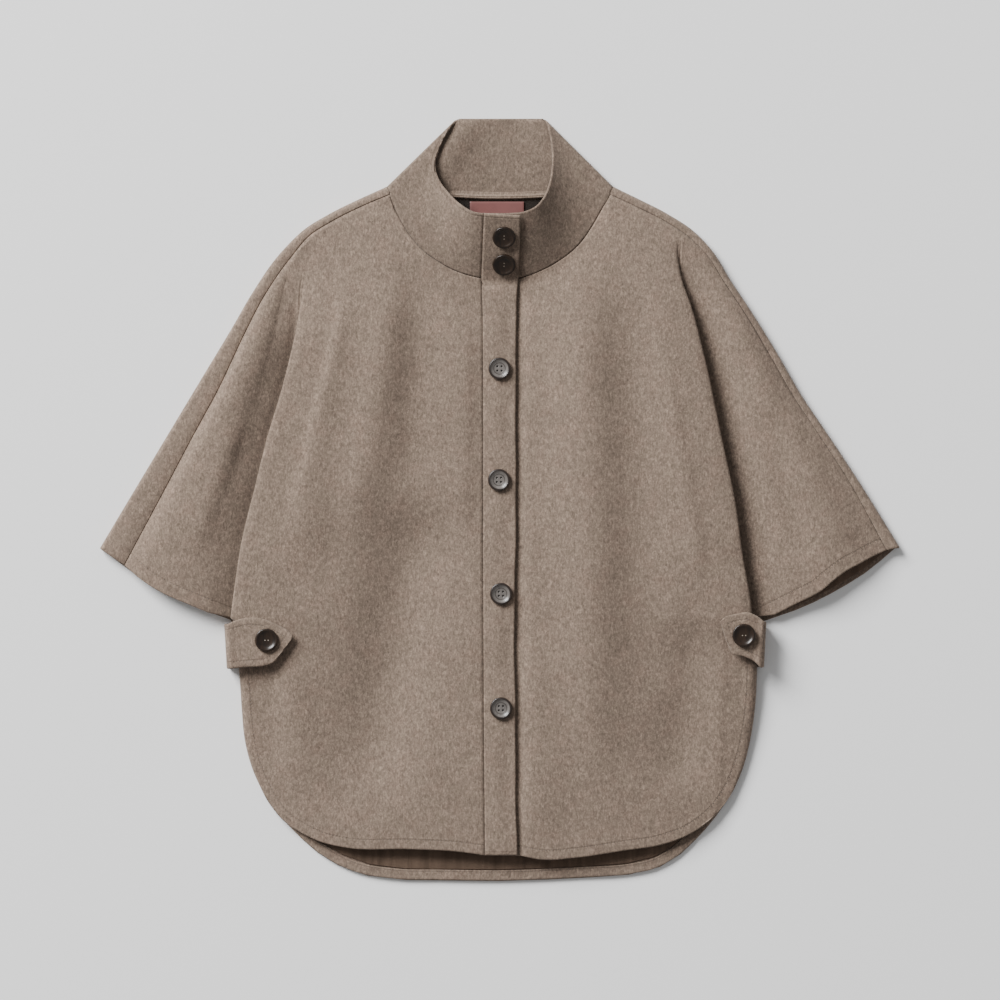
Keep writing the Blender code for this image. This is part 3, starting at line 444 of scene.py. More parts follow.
# The slow waves of laid cloth: their direction in degrees, length, phase and share of the amount
WAVES = table(
    "way length phase share",
    (18, 97, 0.4, 0.5),
    (74, 131, 2.1, 0.45),
    (131, 71, 4.0, 0.35),
    (160, 43, 1.2, 0.2),
)

# A button's turned outline as shares of its radius and thickness, from the centre of its back
BUTTON_OUTLINE = table(
    "radius height",
    (0.0, 0.0),
    (0.45, 0.0),
    (0.74, 0.02),
    (0.95, 0.22),
    (1.0, 0.48),
    (0.985, 0.78),
    (0.93, 0.97),
    (0.86, 1.0),
    (0.79, 0.94),
    (0.7, 0.78),
    (0.56, 0.62),
    (0.42, 0.54),
    (0.34, 0.52),
    (0.26, 0.51),
    (0.18, 0.5),
    (0.09, 0.5),
    (0.0, 0.5),
)
BUTTON_FACE = 9
BUTTON_STEPS = 5
BUTTON_SIDES = 96
BUTTON_THICK = 3.6
BUTTON_GAP = 0.3
BUTTON_NEAR = 9

# The holes: where they lie from a dark button's middle, their radius and their depth
DARK_HOLE_OUT = 1.6
HOLES = {"dark": (0.35, 0.2), "grey": (0.7, 1.1)}

# Buttons: place and the kind of button
BUTTONS = (
    ("collar_button_1", 4.0, 261.5, "dark"),
    ("collar_button_2", 4.0, 235.0, "dark"),
    ("front_button_1", -0.5, 131.0, "grey"),
    ("front_button_2", -1.0, 20.0, "grey"),
    ("front_button_3", 1.0, -93.5, "grey"),
    ("front_button_4", 1.0, -207.5, "grey"),
)
TAB_BUTTONS = {"right": (-232.5, -139.5), "left": (242.8, -134.7)}

# The seam between the inner collar and the lining
RIDGE_REACH = 62.0
RIDGE_ABOVE = 4.2
RIDGE_BASE = 3.4
RIDGE_HIGH = 2.8
RIDGE_THICK = 0.9

# The bare woven label inside the neck
LABEL_X = (-30.0, 24.0)
LABEL_Y = (271.0, 298.2)
LABEL_GAP = 0.55
LABEL_WAVE = 0.25

# The floor's half width and its height, the place of the soft light in metres, and the camera's sensor
FLOOR_REACH = 6000.0
FLOOR_Z = -0.05
KEY_PLACE = (-5.4, 5.6, 4.8)
SENSOR = 36

# Curves and surfaces


def spline(at, knots, share):
    """A cubic through the knots; the slope at each is that of the parabola through its neighbours."""
    share = np.asarray(share, float)
    slope = np.gradient(knots, at, axis=0)
    i = np.clip(np.searchsorted(at, share, side="right") - 1, 0, len(at) - 2)
    step = (at[i + 1] - at[i])[:, None]
    t = (share - at[i])[:, None] / step
    start = knots[i] * (1 + 2 * t) * (1 - t) ** 2 + slope[i] * step * t * (1 - t) ** 2
    end = knots[i + 1] * t**2 * (3 - 2 * t) - slope[i + 1] * step * t**2 * (1 - t)
    return start + end


def refine(knots, per):
    """More points on lines of knots (line, knot, xyz): the same cubic, sampled per times between knots."""
    steps = np.maximum(np.linalg.norm(np.diff(knots, axis=1), axis=2, keepdims=True), 1e-6)
    chords = np.diff(knots, axis=1) / steps
    before, after = steps[:, :-1], steps[:, 1:]
    middle = (chords[:, :-1] * after + chords[:, 1:] * before) / (before + after)
    slope = np.concatenate([chords[:, :1], middle, chords[:, -1:]], axis=1)
    t = (np.arange(per) / per)[None, None, :, None]
    reach = steps[:, :, None]
    first, last = knots[:, :-1, None], knots[:, 1:, None]
    start = first * (1 + 2 * t) * (1 - t) ** 2 + slope[:, :-1, None] * reach * t * (1 - t) ** 2
    end = last * t**2 * (3 - 2 * t) - slope[:, 1:, None] * reach * t**2 * (1 - t)
    points = (start + end).reshape(len(knots), -1, knots.shape[2])
    return np.concatenate([points, knots[:, -1:]], axis=1)


def eased(count, ease):
    """Shares from 0 to 1, closer together at both ends: a straight run mixed with a half cosine."""
    t = np.linspace(0, 1, count + 1)
    return (1 - ease) * t + ease * (0.5 - 0.5 * np.cos(np.pi * t))


def lengths(points):
    """Distance along a line of points, from 0 at its first."""
    steps = np.linalg.norm(np.diff(points, axis=0), axis=1)
    return np.concatenate([[0.0], np.cumsum(steps)])


def columns(rows, names):
    """The named columns of a table side by side, one point to a row."""
    return np.stack([rows[name] for name in names.split()], axis=1)


def along(rows, names, shares):
    """Points of the smooth curve through a table's rows, at shares of its length seen from above."""
    knots = columns(rows, names)
    at = lengths(knots[:, :2])
    return spline(at / at[-1], knots, shares)


def by_y(rows, names, y):
    """Columns of a table read at heights y, on the smooth curve through its rows."""
    return spline(-rows["y"], columns(rows, names), -np.asarray(y, float))


def soft_step(t):
    """From 0 to 1 without a corner: three times the square less twice the cube, held at both ends."""
    t = np.clip(t, 0, 1)
    return t * t * (3 - 2 * t)


def unit(vectors):
    """Vectors divided by their own lengths."""
    return vectors / np.maximum(np.linalg.norm(vectors, axis=-1, keepdims=True), 1e-9)


def coons(top, bottom, left, right, u, v):
    """The patch inside four edges: the two straight blends less the corners' bilinear blend."""
    u = u[None, :, None]
    v = v[:, None, None]
    across = (1 - u) * left[:, None] + u * right[:, None]
    down = (1 - v) * top[None] + v * bottom[None]
    corners = (1 - v) * ((1 - u) * top[0] + u * top[-1]) + v * ((1 - u) * bottom[0] + u * bottom[-1])
    return across + down - corners


def line_relief(x, y, rows):
    """Soft troughs and ridges: each a bell across a curved line of three points, fading at its ends."""
    total = np.zeros(np.shape(x))
    t = np.linspace(0, 1, 91)
    for x0, y0, x1, y1, x2, y2, width, height in zip(*rows.values()):
        line_x = (1 - t) ** 2 * x0 + 2 * t * (1 - t) * x1 + t**2 * x2
        line_y = (1 - t) ** 2 * y0 + 2 * t * (1 - t) * y1 + t**2 * y2
        gap = np.hypot(x[..., None] - line_x, y[..., None] - line_y)
        share = t[gap.argmin(axis=-1)]
        fade = soft_step(share / 0.25) * soft_step((1 - share) / 0.25)
        total += height * fade * np.exp(-((gap.min(axis=-1) / width) ** 2))
    return total


def unevenness(points, amount):
    """How far laid cloth stands off its smooth shape: slow waves in x and y, less near the table."""
    x, y = points[..., 0], points[..., 1]
    total = np.zeros(x.shape)
    for way, length, phase, share in zip(*WAVES.values()):
        a = math.radians(way)
        bend = 14 * np.sin(2 * np.pi * (y * math.cos(a) - x * math.sin(a)) / (2.7 * length) + 2 * phase)
        total += share * np.sin(2 * np.pi * (x * math.cos(a) + y * math.sin(a) + bend) / length + phase)
    return amount * total * soft_step(points[..., 2] / 9)


# The seam lines


def neck_seam(half, count=11):
    """The neck seam from the placket outwards, at even shares of its length."""
    return along(half["neck"], "x y z", np.linspace(0, 1, count + 1))


def overarm(half, distances):
    """Points of the overarm seam at distances from the neck, with the silhouette beside each."""
    knots = columns(half["overarm"], "x y z edge_x edge_y")
    return spline(lengths(knots[:, :2]), knots, distances)


def seam_ends(half):
    """The distance along the overarm seam at which the fold starts, and the seam's whole length."""
    knots = columns(half["overarm"], "x y")
    at = lengths(knots)
    start = np.array([half["fold"]["x"][0], half["fold"]["y"][0]])
    fine = np.linspace(0, at[-1], 2000)
    return fine[np.argmin(np.linalg.norm(spline(at, knots, fine) - start, axis=1))], at[-1]


# The stretch between body and sleeve: its twelve points' reach laid flat and folded, the heights that
# the body's points drop, and the shares of the fold line at which its angles are given
CHAIN_FLAT = np.array([-30, -14, -4, 1.5, 3, 4.5, 6, 7.5, 9, 11, 15, 25], float)
FOLDED_REACH = np.array([-30, -14, -4, 1.5, 1.5, 0, 0, 0, 0, 0, 10, 25], float)
BODY_DROPS = np.array([1, 0.5, 0, -2, -6, -8.5, -9, -10.5])
ANGLE_SHARES = np.array([0, 0.12, 0.45, 1.0])
SLEEVE_START = 47.0


def chain_points(half, shares):
    """The folded stretch between body and sleeve, a row of twelve points at each share of the fold line.

    Outwards they run over the body's rolled edge, back under it by the depth of the tuck, and out
    again onto the sleeve. Where the tuck is shallow the same points lie in one slope.
    """
    fold = along(half["fold"], "x y body sleeve tuck", shares)
    here = fold[:, None, :2]
    body = fold[:, None, 2]
    sleeve = fold[:, None, 3]
    tuck = fold[:, 4][:, None]
    folded = FOLDED_REACH + 0 * tuck
    folded[:, 5:6] = -3 - 0.25 * tuck
    folded[:, 6:7] = 2 - tuck
    folded[:, 7:8] = -3 - tuck
    folded[:, 8:9] = 2 - tuck
    rises = np.array([0.5, 0, *half["rise"]])
    high = np.concatenate([body + BODY_DROPS, sleeve + rises], axis=1)
    share = (CHAIN_FLAT - CHAIN_FLAT[0]) / (CHAIN_FLAT[-1] - CHAIN_FLAT[0])
    slope = (body + 1) + (sleeve + 3 - body - 1) * soft_step(share)[None]
    strength = soft_step(tuck / 9)
    reach = CHAIN_FLAT * (1 - strength) + folded * strength
    height = slope * (1 - strength) + high * strength
    inward = np.radians(np.interp(shares, ANGLE_SHARES, half["in_angle"]))
    outward = np.radians(np.interp(shares, ANGLE_SHARES, half["out_angle"]))
    out = half["out"]
    inner_way = np.stack([-out * np.cos(inward), np.sin(inward)], axis=1)
    outer_way = np.stack([out * np.cos(outward), np.sin(outward)], axis=1)
    way = np.where(reach[..., None] < 0, -inner_way[:, None], outer_way[:, None])
    return np.concatenate([here + reach[..., None] * way, height[..., None]], axis=2)


def underlap(x, half):
    """How far the left front dips to pass under the placket."""
    if half["out"] < 0:
        return np.zeros(np.shape(x))
    return UNDERLAP_DROP * (1 - soft_step((x - UNDERLAP_FROM) / UNDERLAP_OVER))


def level_edge(body, edge, u, half, amount):
    """Keeps a front level beside the placket and under it: its height joins the panel's over a quarter."""
    flat_to = LEVEL_UNDER_PLACKET if half["out"] > 0 else 0.0
    rise = 1 - amount[:, None] * (1 - soft_step((u - flat_to) / LEVEL_OVER))[None]
    body[..., 2] = edge[:, None, 2] + (body[..., 2] - edge[:, None, 2]) * rise


def crease_window(body, u, half):
    """Where the creases may show: not beside the placket, under it, or on the body's rolled edge."""
    clear = 1 - underlap(body[..., 0], half) / UNDERLAP_DROP
    return clear * (soft_step(u / 0.1) * soft_step((1 - u) / 0.08))[None]


def front_edge(half, rows_y):
    """The front's own edge at the placket, at rows of y."""
    both = by_y(PLACKET, "left height", rows_y)
    x = both[:, 0] if half["out"] < 0 else np.full(len(rows_y), half["neck"]["x"][0])
    return np.stack([x, rows_y, both[:, 1]], axis=1)


def front_surface(side, cloth):
    """The outer surface of a front with its sleeve: rows from the neck to the hem, columns outwards.

    Gives the grid, its cloth cells, the count of upper rows and the count of columns below the cuff.
    """
    half = HALVES[side]
    v = eased(UPPER_ROWS, 0.5)
    fold_at, seam_end = seam_ends(half)
    shoulder = overarm(half, np.linspace(0, fold_at - 30, SHOULDER_COLS + 1))[:, :3]
    chain = refine(chain_points(half, v), CHAIN_STEPS)
    flat = refine(CHAIN_FLAT[None, :, None], CHAIN_STEPS)[0, :, 0]
    chain[0] = overarm(half, fold_at + flat)[:, :3]
    top = np.concatenate([neck_seam(half, NECK_COLS), shoulder[1:]])
    u = lengths(top)
    u = u / u[-1]
    edge = front_edge(half, NECK_Y + (CUFF_Y - NECK_Y) * v)
    top[:, 2] += underlap(top[:, 0], half)
    edge[0] = top[0]
    body_end = chain[:, 0]
    line = edge[-1] + (body_end[-1] - edge[-1]) * u[:, None]
    body = coons(top, line, edge, body_end, u, v)
    level_edge(body, edge, u, half, soft_step(v / 0.04))
    window = soft_step(v / 0.1)[:, None] * crease_window(body, u, half)
    relief = line_relief(body[..., 0], body[..., 1], CREASES) * cloth.crease_strength
    body[..., 2] += relief * window - underlap(body[..., 0], half)
    s = eased(SLEEVE_COLS, 0.3)
    sleeve_top = overarm(half, fold_at + CHAIN_FLAT[-1] + (SLEEVE_START - CHAIN_FLAT[-1]) * s)[:, :3]
    cuff = along(half["cuff"], "x y z", s)
    cuff[0] = chain[-1, -1]
    seam_side = overarm(half, fold_at + SLEEVE_START + (seam_end - fold_at - SLEEVE_START) * v)[:, :3]
    arm = coons(sleeve_top, cuff, chain[:, -1], seam_side, s, v)
    height, middle = half["crown"]
    hump = 1 - ((s - middle) / np.where(s < middle, middle, 1 - middle)) ** 2
    arm[..., 2] += height * (soft_step(v / 0.3) * (1 - v**3))[:, None] * hump[None]
    sleeve_window = soft_step(v / 0.1)[:, None] * (soft_step(s / 0.12) * soft_step((1 - s) / 0.12))[None]
    sleeve_relief = line_relief(arm[..., 0], arm[..., 1], SLEEVE_CREASES) * cloth.crease_strength
    arm[..., 2] += sleeve_relief * sleeve_window
    upper = np.concatenate([body[:, :-1], chain, arm[:, 1:]], axis=1)
    lower = skirt_surface(half, body[-1], chain[-1], u, cloth)
    spare = np.zeros((len(lower), upper.shape[1] - lower.shape[1], 3))
    grid = np.concatenate([upper, np.concatenate([lower, spare], axis=1)])
    cells = all_cells(grid)
    cells[len(upper) - 1 :, lower.shape[1] - 1 :] = False
    grid[..., 2] += unevenness(grid, cloth.unevenness / MM)
    return grid, cells, len(upper), lower.shape[1]


# The side edge's points: how far in from the outline, their rise and their share of the fall to the foot
SIDE_IN = np.array([30, 14, 4.8, 1.1, 0, 0.25])
SIDE_RISE = np.array([1.0, 0.5, 0, 0, 0, 0])
SIDE_FALL = np.array([0, 0, 0, -0.25, -0.62, -1.0])


def skirt_surface(half, top_body, top_chain, u, cloth):
    """The rows below the cuff: the body down to the hem and its side edge rolled down to the back."""
    w = eased(SKIRT_ROWS, 0.5)
    side = along(half["side"], "x y height", w)
    tangent = unit(np.gradient(side[:, :2], w, axis=0))
    turned = np.stack([tangent[:, 1], -tangent[:, 0]], axis=1) * half["out"]
    hem = columns(half["hem"], "x y z")
    hem_at = lengths(hem[:, :2])
    corner = spline(hem_at, hem, hem_at[-1] - SIDE_IN)
    begin = soft_step(w / 0.3)[:, None]
    end = soft_step((w - 0.55) / 0.45)[:, None, None]
    inward = unit(np.array([-half["out"], 0.0]) * (1 - begin) + turned * begin)
    along_hem = corner[:, :2] - side[-1, :2]
    place = side[:, None, :2] + SIDE_IN[None, :, None] * inward[:, None] * (1 - end) + along_hem * end
    fall = side[:, 2:3] - SIDE_FOOT
    z = side[:, 2:3] + SIDE_RISE + SIDE_FALL * fall
    edge = np.concatenate([place, z[..., None]], axis=2)
    corner[:, 2] = z[-1]
    edge[-1] = corner
    edge = refine(edge, CHAIN_STEPS)
    edge[0] = top_chain[: edge.shape[1]]
    front = front_edge(half, CUFF_Y + (HEM_Y - CUFF_Y) * w)
    bottom = spline(hem_at, hem, u * (hem_at[-1] - SIDE_IN[0]))
    bottom[:, 2] += underlap(bottom[:, 0], half)
    bottom[-1] = corner[0]
    top = top_body.copy()
    top[:, 2] += underlap(top[:, 0], half)
    relief = line_relief(top[:, 0], top[:, 1], CREASES) * cloth.crease_strength
    top[:, 2] -= relief * crease_window(top[None], u, half)[0]
    body = coons(top, bottom, front, edge[:, 0], u, w)
    level_edge(body, front, u, half, np.ones(len(w)))
    relief = line_relief(body[..., 0], body[..., 1], CREASES) * cloth.crease_strength
    body[..., 2] += relief * crease_window(body, u, half) - underlap(body[..., 0], half)
    return np.concatenate([body[1:, :-1], edge[1:]], axis=1)


def half_turn(half_height, middle, bulge, count):
    """From a point above to one below, bulging outwards: cosine of the angle up, sine out."""
    angle = np.linspace(0, math.pi, count + 1)[:, None]
    up = half_height[..., None, :] * np.cos(angle)
    return middle[..., None, :] + up + bulge[..., None, :] * np.sin(angle)


def neck_roll(side, count):
    """The half turn at the neck's corner, from the fronts' seam down to the back's."""
    out = HALVES[side]["out"]
    half_height, middle, bulge = np.array(NECK_ROLL) * (out, 1, 1)
    return half_turn(half_height, middle, bulge, count)


SKIRT_HALF = np.array([0, 0.03, 0.06, 0.09, 0.12, 0.155, 0.2, 0.26, 0.33, 0.41, 0.5])
SKIRT_ACROSS = np.concatenate([SKIRT_HALF, 1 - SKIRT_HALF[-2::-1]])
CUFF_CELLS = 8


def across_shares():
    """Shares across the back's flat part at the neck: a few for each sleeve and the rest for the body."""
    sleeve = np.linspace(0, 0.2, CUFF_CELLS + 1)
    body = 0.2 + 0.6 * SKIRT_ACROSS
    return np.concatenate([sleeve, body[1:], 0.8 + sleeve[1:]])


def neck_back():
    """The back of the neck seam, where it lies on the table between the two rolled corners."""
    right = neck_roll("right", ROLL_STEPS)[-1]
    left = neck_roll("left", ROLL_STEPS)[-1]
    shares = across_shares()
    line = right + (left - right) * shares[:, None]
    line[:, 1] -= (right[1] - NECK_BACK_Y) * np.sin(np.pi * shares) ** 0.8
    line[:, 2] = 0
    return line


def rolled_side(side, distances):
    """The back's edge turned up from the table to the overarm seam, a row of points at each distance."""
    seam = overarm(HALVES[side], distances)
    sewn, rim = seam[:, :3], seam[:, 3:5]
    inward = unit(sewn[:, :2] - rim)
    radius = np.minimum(EDGE_RADIUS, np.linalg.norm(sewn[:, :2] - rim, axis=1) * EDGE_SHARE)[:, None]
    half_height = np.concatenate([np.zeros((len(sewn), 2)), sewn[:, 2:] / 2], axis=1)
    middle = np.concatenate([rim + inward * radius, sewn[:, 2:] / 2], axis=1)
    bulge = np.concatenate([-inward * radius, np.zeros((len(sewn), 1))], axis=1)
    turned = half_turn(half_height, middle, bulge, ROLL_STEPS)
    near = (1 - soft_step(distances / ROLL_BLEND))[:, None, None]
    turned = turned * (1 - near) + neck_roll(side, ROLL_STEPS) * near
    strip = sewn[:, None] + (turned[:, :1] - sewn[:, None]) * np.array([0, 0.5])[None, :, None]
    return np.concatenate([strip, turned], axis=1)


def back_rows(half, lead_rows, count):
    """Distances along the overarm seam for the back's rows: to the fold's end, then on to the cuff."""
    fold_at, seam_end = seam_ends(half)
    lead = fold_at + SLEEVE_START
    first = np.linspace(0, lead, lead_rows + 1)[:-1]
    return np.concatenate([first, lead + (seam_end - lead) * eased(count, 0.4)])


def back_surface(cloth, lead_rows=30, count=74, skirt=30):
    """The back: flat on the table, rolled up at both overarm edges, with the skirt below the cuffs."""
    right = rolled_side("right", back_rows(HALVES["right"], lead_rows, count))
    left = rolled_side("left", back_rows(HALVES["left"], lead_rows, count))
    u = across_shares()
    at = lengths(right[:, -1])
    bottom = cuff_line(right[-1, -1], left[-1, -1])
    flat = coons(neck_back(), bottom, right[:, -1], left[:, -1], u, at / at[-1])
    flat[..., 2] = 0
    upper = np.concatenate([right[:, :-1], flat, left[:, -2::-1]], axis=1)
    first = right.shape[1] - 1 + CUFF_CELLS
    last = first + len(SKIRT_ACROSS) - 1
    lower = back_skirt(upper[-1, first : last + 1], skirt)
    grid = np.zeros((len(upper) + len(lower) - 1, upper.shape[1], 3))
    grid[: len(upper)] = upper
    grid[len(upper) :, first : last + 1] = lower[1:]
    cells = all_cells(grid)
    cells[len(upper) - 1 :, :first] = False
    cells[len(upper) - 1 :, last:] = False
    grid[..., 2] += unevenness(grid, cloth.unevenness / MM)
    return grid, cells, len(upper), first, last


def cuff_line(right_end, left_end):
    """The back's edge across the cuffs and the body at the armpits, from one rolled edge to the other."""
    halves = []
    for name, end in (("right", right_end), ("left", left_end)):
        rows = columns(HALVES[name]["back_cuff"], "x y")
        rows[-1] = end[:2]
        at = lengths(rows)
        halves.append(spline(at / at[-1], rows, np.linspace(0, 1, CUFF_CELLS + 1)))
    right, left = halves[0][::-1], halves[1]
    body = right[-1] + (left[0] - right[-1]) * SKIRT_ACROSS[:, None]
    line = np.concatenate([right[:-1], body, left[1:]])
    return np.concatenate([line, np.zeros((len(line), 1))], axis=1)


def back_outline(name, shares):
    """The back's side edge, just inside the rolled edge of the front, from the armpit to the corner."""
    rows = columns(HALVES[name]["side"], "x y")
    rows[0] = columns(HALVES[name]["back_cuff"], "x y")[0]
    at = lengths(rows)
    return spline(at / at[-1], rows, shares)


def back_hem(shares):
    """The back's hem from the wearer's right to the left, at shares of its length."""
    right = columns(HALVES["right"]["back_hem"], "x y")
    left = columns(HALVES["left"]["back_hem"], "x y")
    hem = np.concatenate([right[::-1], left[1:]])
    at = lengths(hem)
    return spline(at / at[-1], hem, shares)


def back_skirt(top, count):
    """The flat back below the armpits: the patch between the armpits' line, the sides and the hem."""
    shares = eased(count, 0.4)
    right = back_outline("right", shares)
    left = back_outline("left", shares)
    flat = coons(top[:, :2], back_hem(SKIRT_ACROSS), right, left, SKIRT_ACROSS, shares)
    flat[0] = top[:, :2]
    return np.concatenate([flat, np.zeros(flat.shape[:2] + (1,))], axis=2)


def collar_surface(cloth):
    """The funnel collar: lines carried from the neck seam to the free top edge, round the neck and back."""
    foot = []
    head = []
    for name, half in HALVES.items():
        at = lengths(columns(COLLAR_TOP[name], "x y"))
        roll = at[COLLAR_REST] / at[-1] if half["out"] < 0 else at[COLLAR_REST + 1] / at[-1]
        shares = np.concatenate([np.linspace(0, roll, 11), np.linspace(roll, 1, 8)[1:]])
        foot.append(refine(np.concatenate([neck_seam(half, 10), neck_roll(name, 6)])[None], 4)[0])
        head.append(refine(along(COLLAR_TOP[name], "x y z", shares)[None], 4)[0])
    shares = across_shares()[1:-1, None]
    head_back = head[0][-1] + (head[1][-1] - head[0][-1]) * shares
    lower = np.concatenate([foot[0], neck_back()[1:-1], foot[1][::-1]])
    upper = np.concatenate([head[0], head_back, head[1][::-1]])
    lower[:, 2] = np.maximum(lower[:, 2], 0)
    upper[:, 2] = np.maximum(upper[:, 2], 0)
    t = eased(COLLAR_ROWS, 0.3)[:, None, None]
    grid = lower[None] * (1 - t) + upper[None] * t
    grid[..., 2] += COLLAR_LIFT * side_lift(foot, len(shares)) * (4 * t[..., 0] * (1 - t[..., 0])) ** 0.7
    grid[..., 2] += unevenness(grid, cloth.unevenness / MM)
    return grid


def side_lift(foot, between):
    """How far the back of the collar curves up: half where it turns, most a little inside, none between."""
    turn = 7 * 4
    share = np.zeros(len(foot[0]))
    share[-turn:] = 0.5 * soft_step(np.linspace(0, 1, turn))
    back = np.linspace(0, 1, between)
    near = np.minimum(back, 1 - back)
    fade = (0.5 + 0.5 * soft_step(near / 0.12)) * (1 - soft_step((near - 0.12) / 0.38))
    return np.concatenate([share, fade, share[::-1]])[None]


def placket_surface(cloth):
    """The button strip: level across, faintly crowned, its right edge waving a little between buttons."""
    y = PLACKET_TOP_Y + (HEM_Y - PLACKET_TOP_Y) * eased(150, 0.3)
    left, right, height = by_y(PLACKET, "left right height", y).T
    t = eased(10, 0.5)
    right = right + 0.55 * np.sin(y / 17.0) * np.sin(y / 41.0) * soft_step((260 - y) / 60)
    x = (left + SEAM_GAP)[:, None] + (right - left - SEAM_GAP)[:, None] * t
    top = soft_step((y - 250) / 34)[:, None]
    rows_y = y[:, None] - 2.2 * t * top
    proud = 0.15 + 0.85 * np.maximum(soft_step(t / 0.4), soft_step((rows_y - NECK_Y + 4) / 8))
    z = height[:, None] + PLACKET_PROUD * proud + PLACKET_CROWN * (4 * t * (1 - t)) - t * top
    grid = np.stack([x, rows_y, z], axis=2)
    grid[..., 2] += line_relief(grid[..., 0], grid[..., 1], PLACKET_CREASES) * cloth.crease_strength
    grid[..., 2] += unevenness(grid, cloth.unevenness / MM)
    return grid


# Meshes


def surface_normals(grid, cells, flip):
    """Unit normals: the mean, over the cloth cells round a point, of the diagonals' cross product."""
    across = grid[1:, 1:] - grid[:-1, :-1]
    down = grid[1:, :-1] - grid[:-1, 1:]
    face = unit(np.cross(down, across)) * cells[..., None] * flip
    total = np.zeros(grid.shape)
    for rows in (slice(0, -1), slice(1, None)):
        for cols in (slice(0, -1), slice(1, None)):
            total[rows, cols] += face
    return unit(total)


def all_cells(grid):
    """Every cell of a grid of points is cloth."""
    return np.ones((grid.shape[0] - 1, grid.shape[1] - 1), bool)


def seam_rim(grid, radius):
    """Each point's edge radius, thin along the first column, which lies against a seam."""
    rim = np.full(grid.shape[:2], radius)
    rim[:, 0] = THIN_SEAM
    return rim


def open_edges(cells, flip):
    """The cloth cells' edges that no other cell shares, as the start and end point of each."""
    rows, cols = cells.shape
    r, c = np.indices(cells.shape)
    padded = np.pad(cells, 1)
    found = []
    for start, end, beside in (
        ((0, 0), (1, 0), (0, -1)),
        ((1, 0), (1, 1), (1, 0)),
        ((1, 1), (0, 1), (0, 1)),
        ((0, 1), (0, 0), (-1, 0)),
    ):
        near = padded[1 + beside[0] :, 1 + beside[1] :][:rows, :cols]
        alone = cells & ~near
        a = (r + start[0]) * (cols + 1) + c + start[1]
        b = (r + end[0]) * (cols + 1) + c + end[1]
        found.append(np.stack([a[alone], b[alone]], axis=1))
    pairs = np.concatenate(found)
    return pairs if flip > 0 else pairs[:, ::-1]


def neighbour_reach(grid):
    """The distance from each point to the nearest of the points beside it in the grid."""
    best = np.full(grid.shape[:2], 1e9)
    for axis in (0, 1):
        step = np.linalg.norm(np.diff(grid, axis=axis), axis=2)
        step = np.where(step < 1e-6, 1e9, step)
        before = [slice(None), slice(None)]
        after = [slice(None), slice(None)]
        before[axis] = slice(0, -1)
        after[axis] = slice(1, None)
        best[tuple(before)] = np.minimum(best[tuple(before)], step)
        best[tuple(after)] = np.minimum(best[tuple(after)], step)
    return best


def cloth_mesh(name, grid, thick, material, flip=1, cells=None, normals=None, line=None, rim=RIM):
    """Cloth with rounded edges, from its outer points.

    The inner points lie a thickness behind the outer ones, against the normal. At an open edge both
    draw in by the rim radius, and a half turn joins them: the cosine of its angle along the normal,
    the sine outwards. The line is each point's signed distance from the nearest row of stitches.
    """
    if cells is None:
        cells = all_cells(grid)
    facing = surface_normals(grid, cells, flip)
    if normals is not None:
        given = np.isfinite(normals[..., 0])
        facing[given] = normals[given]
    count = grid.shape[0] * grid.shape[1]
    points = grid.reshape(-1, 3).copy()
    facing = facing.reshape(-1, 3)
    pairs = open_edges(cells, flip)
    outward = np.zeros(points.shape)
    step = unit(points[pairs[:, 1]] - points[pairs[:, 0]])
    side = np.cross(step, facing[pairs[:, 0]] + facing[pairs[:, 1]])
    np.add.at(outward, pairs[:, 0], side)
    np.add.at(outward, pairs[:, 1], side)
    outward = unit(outward)
    edge = np.unique(pairs)
    roundness = np.minimum(np.broadcast_to(rim, grid.shape[:2]), 0.6 * neighbour_reach(grid))
    radius = roundness.reshape(-1)[edge, None]
    centre = points[edge] - radius * outward[edge] - facing[edge] * thick / 2
    points[edge] -= radius * outward[edge]
    inner = points - thick * facing
    angle = np.linspace(0, math.pi, RIM_STEPS + 1)[1:-1, None, None]
    turned = centre + facing[edge] * thick / 2 * np.cos(angle) + radius * outward[edge] * np.sin(angle)
    spot = np.full(count, -1)
    spot[edge] = np.arange(len(edge))
    between = 2 * count + np.arange(len(edge)) + len(edge) * np.arange(RIM_STEPS - 1)[:, None]
    rings = np.concatenate([edge[None], between, edge[None] + count])
    a, b = spot[pairs[:, 0]], spot[pairs[:, 1]]
    strips = [np.stack([near[b], near[a], far[a], far[b]], axis=1) for near, far in zip(rings, rings[1:])]
    at = np.arange(count).reshape(grid.shape[:2])
    quads = np.stack([at[:-1, :-1], at[1:, :-1], at[1:, 1:], at[:-1, 1:]], axis=2)[cells]
    if flip < 0:
        quads = quads[:, ::-1]
    faces = np.concatenate([quads, quads[:, ::-1] + count, *strips])
    every = np.concatenate([points, inner, turned.reshape(-1, 3)])
    if line is None:
        return quad_mesh(name, every, faces, material)
    line = line.reshape(-1)
    line = np.concatenate([line, line, np.tile(line[edge], RIM_STEPS - 1)])
    return quad_mesh(name, every, faces, material, {"stitch": line})


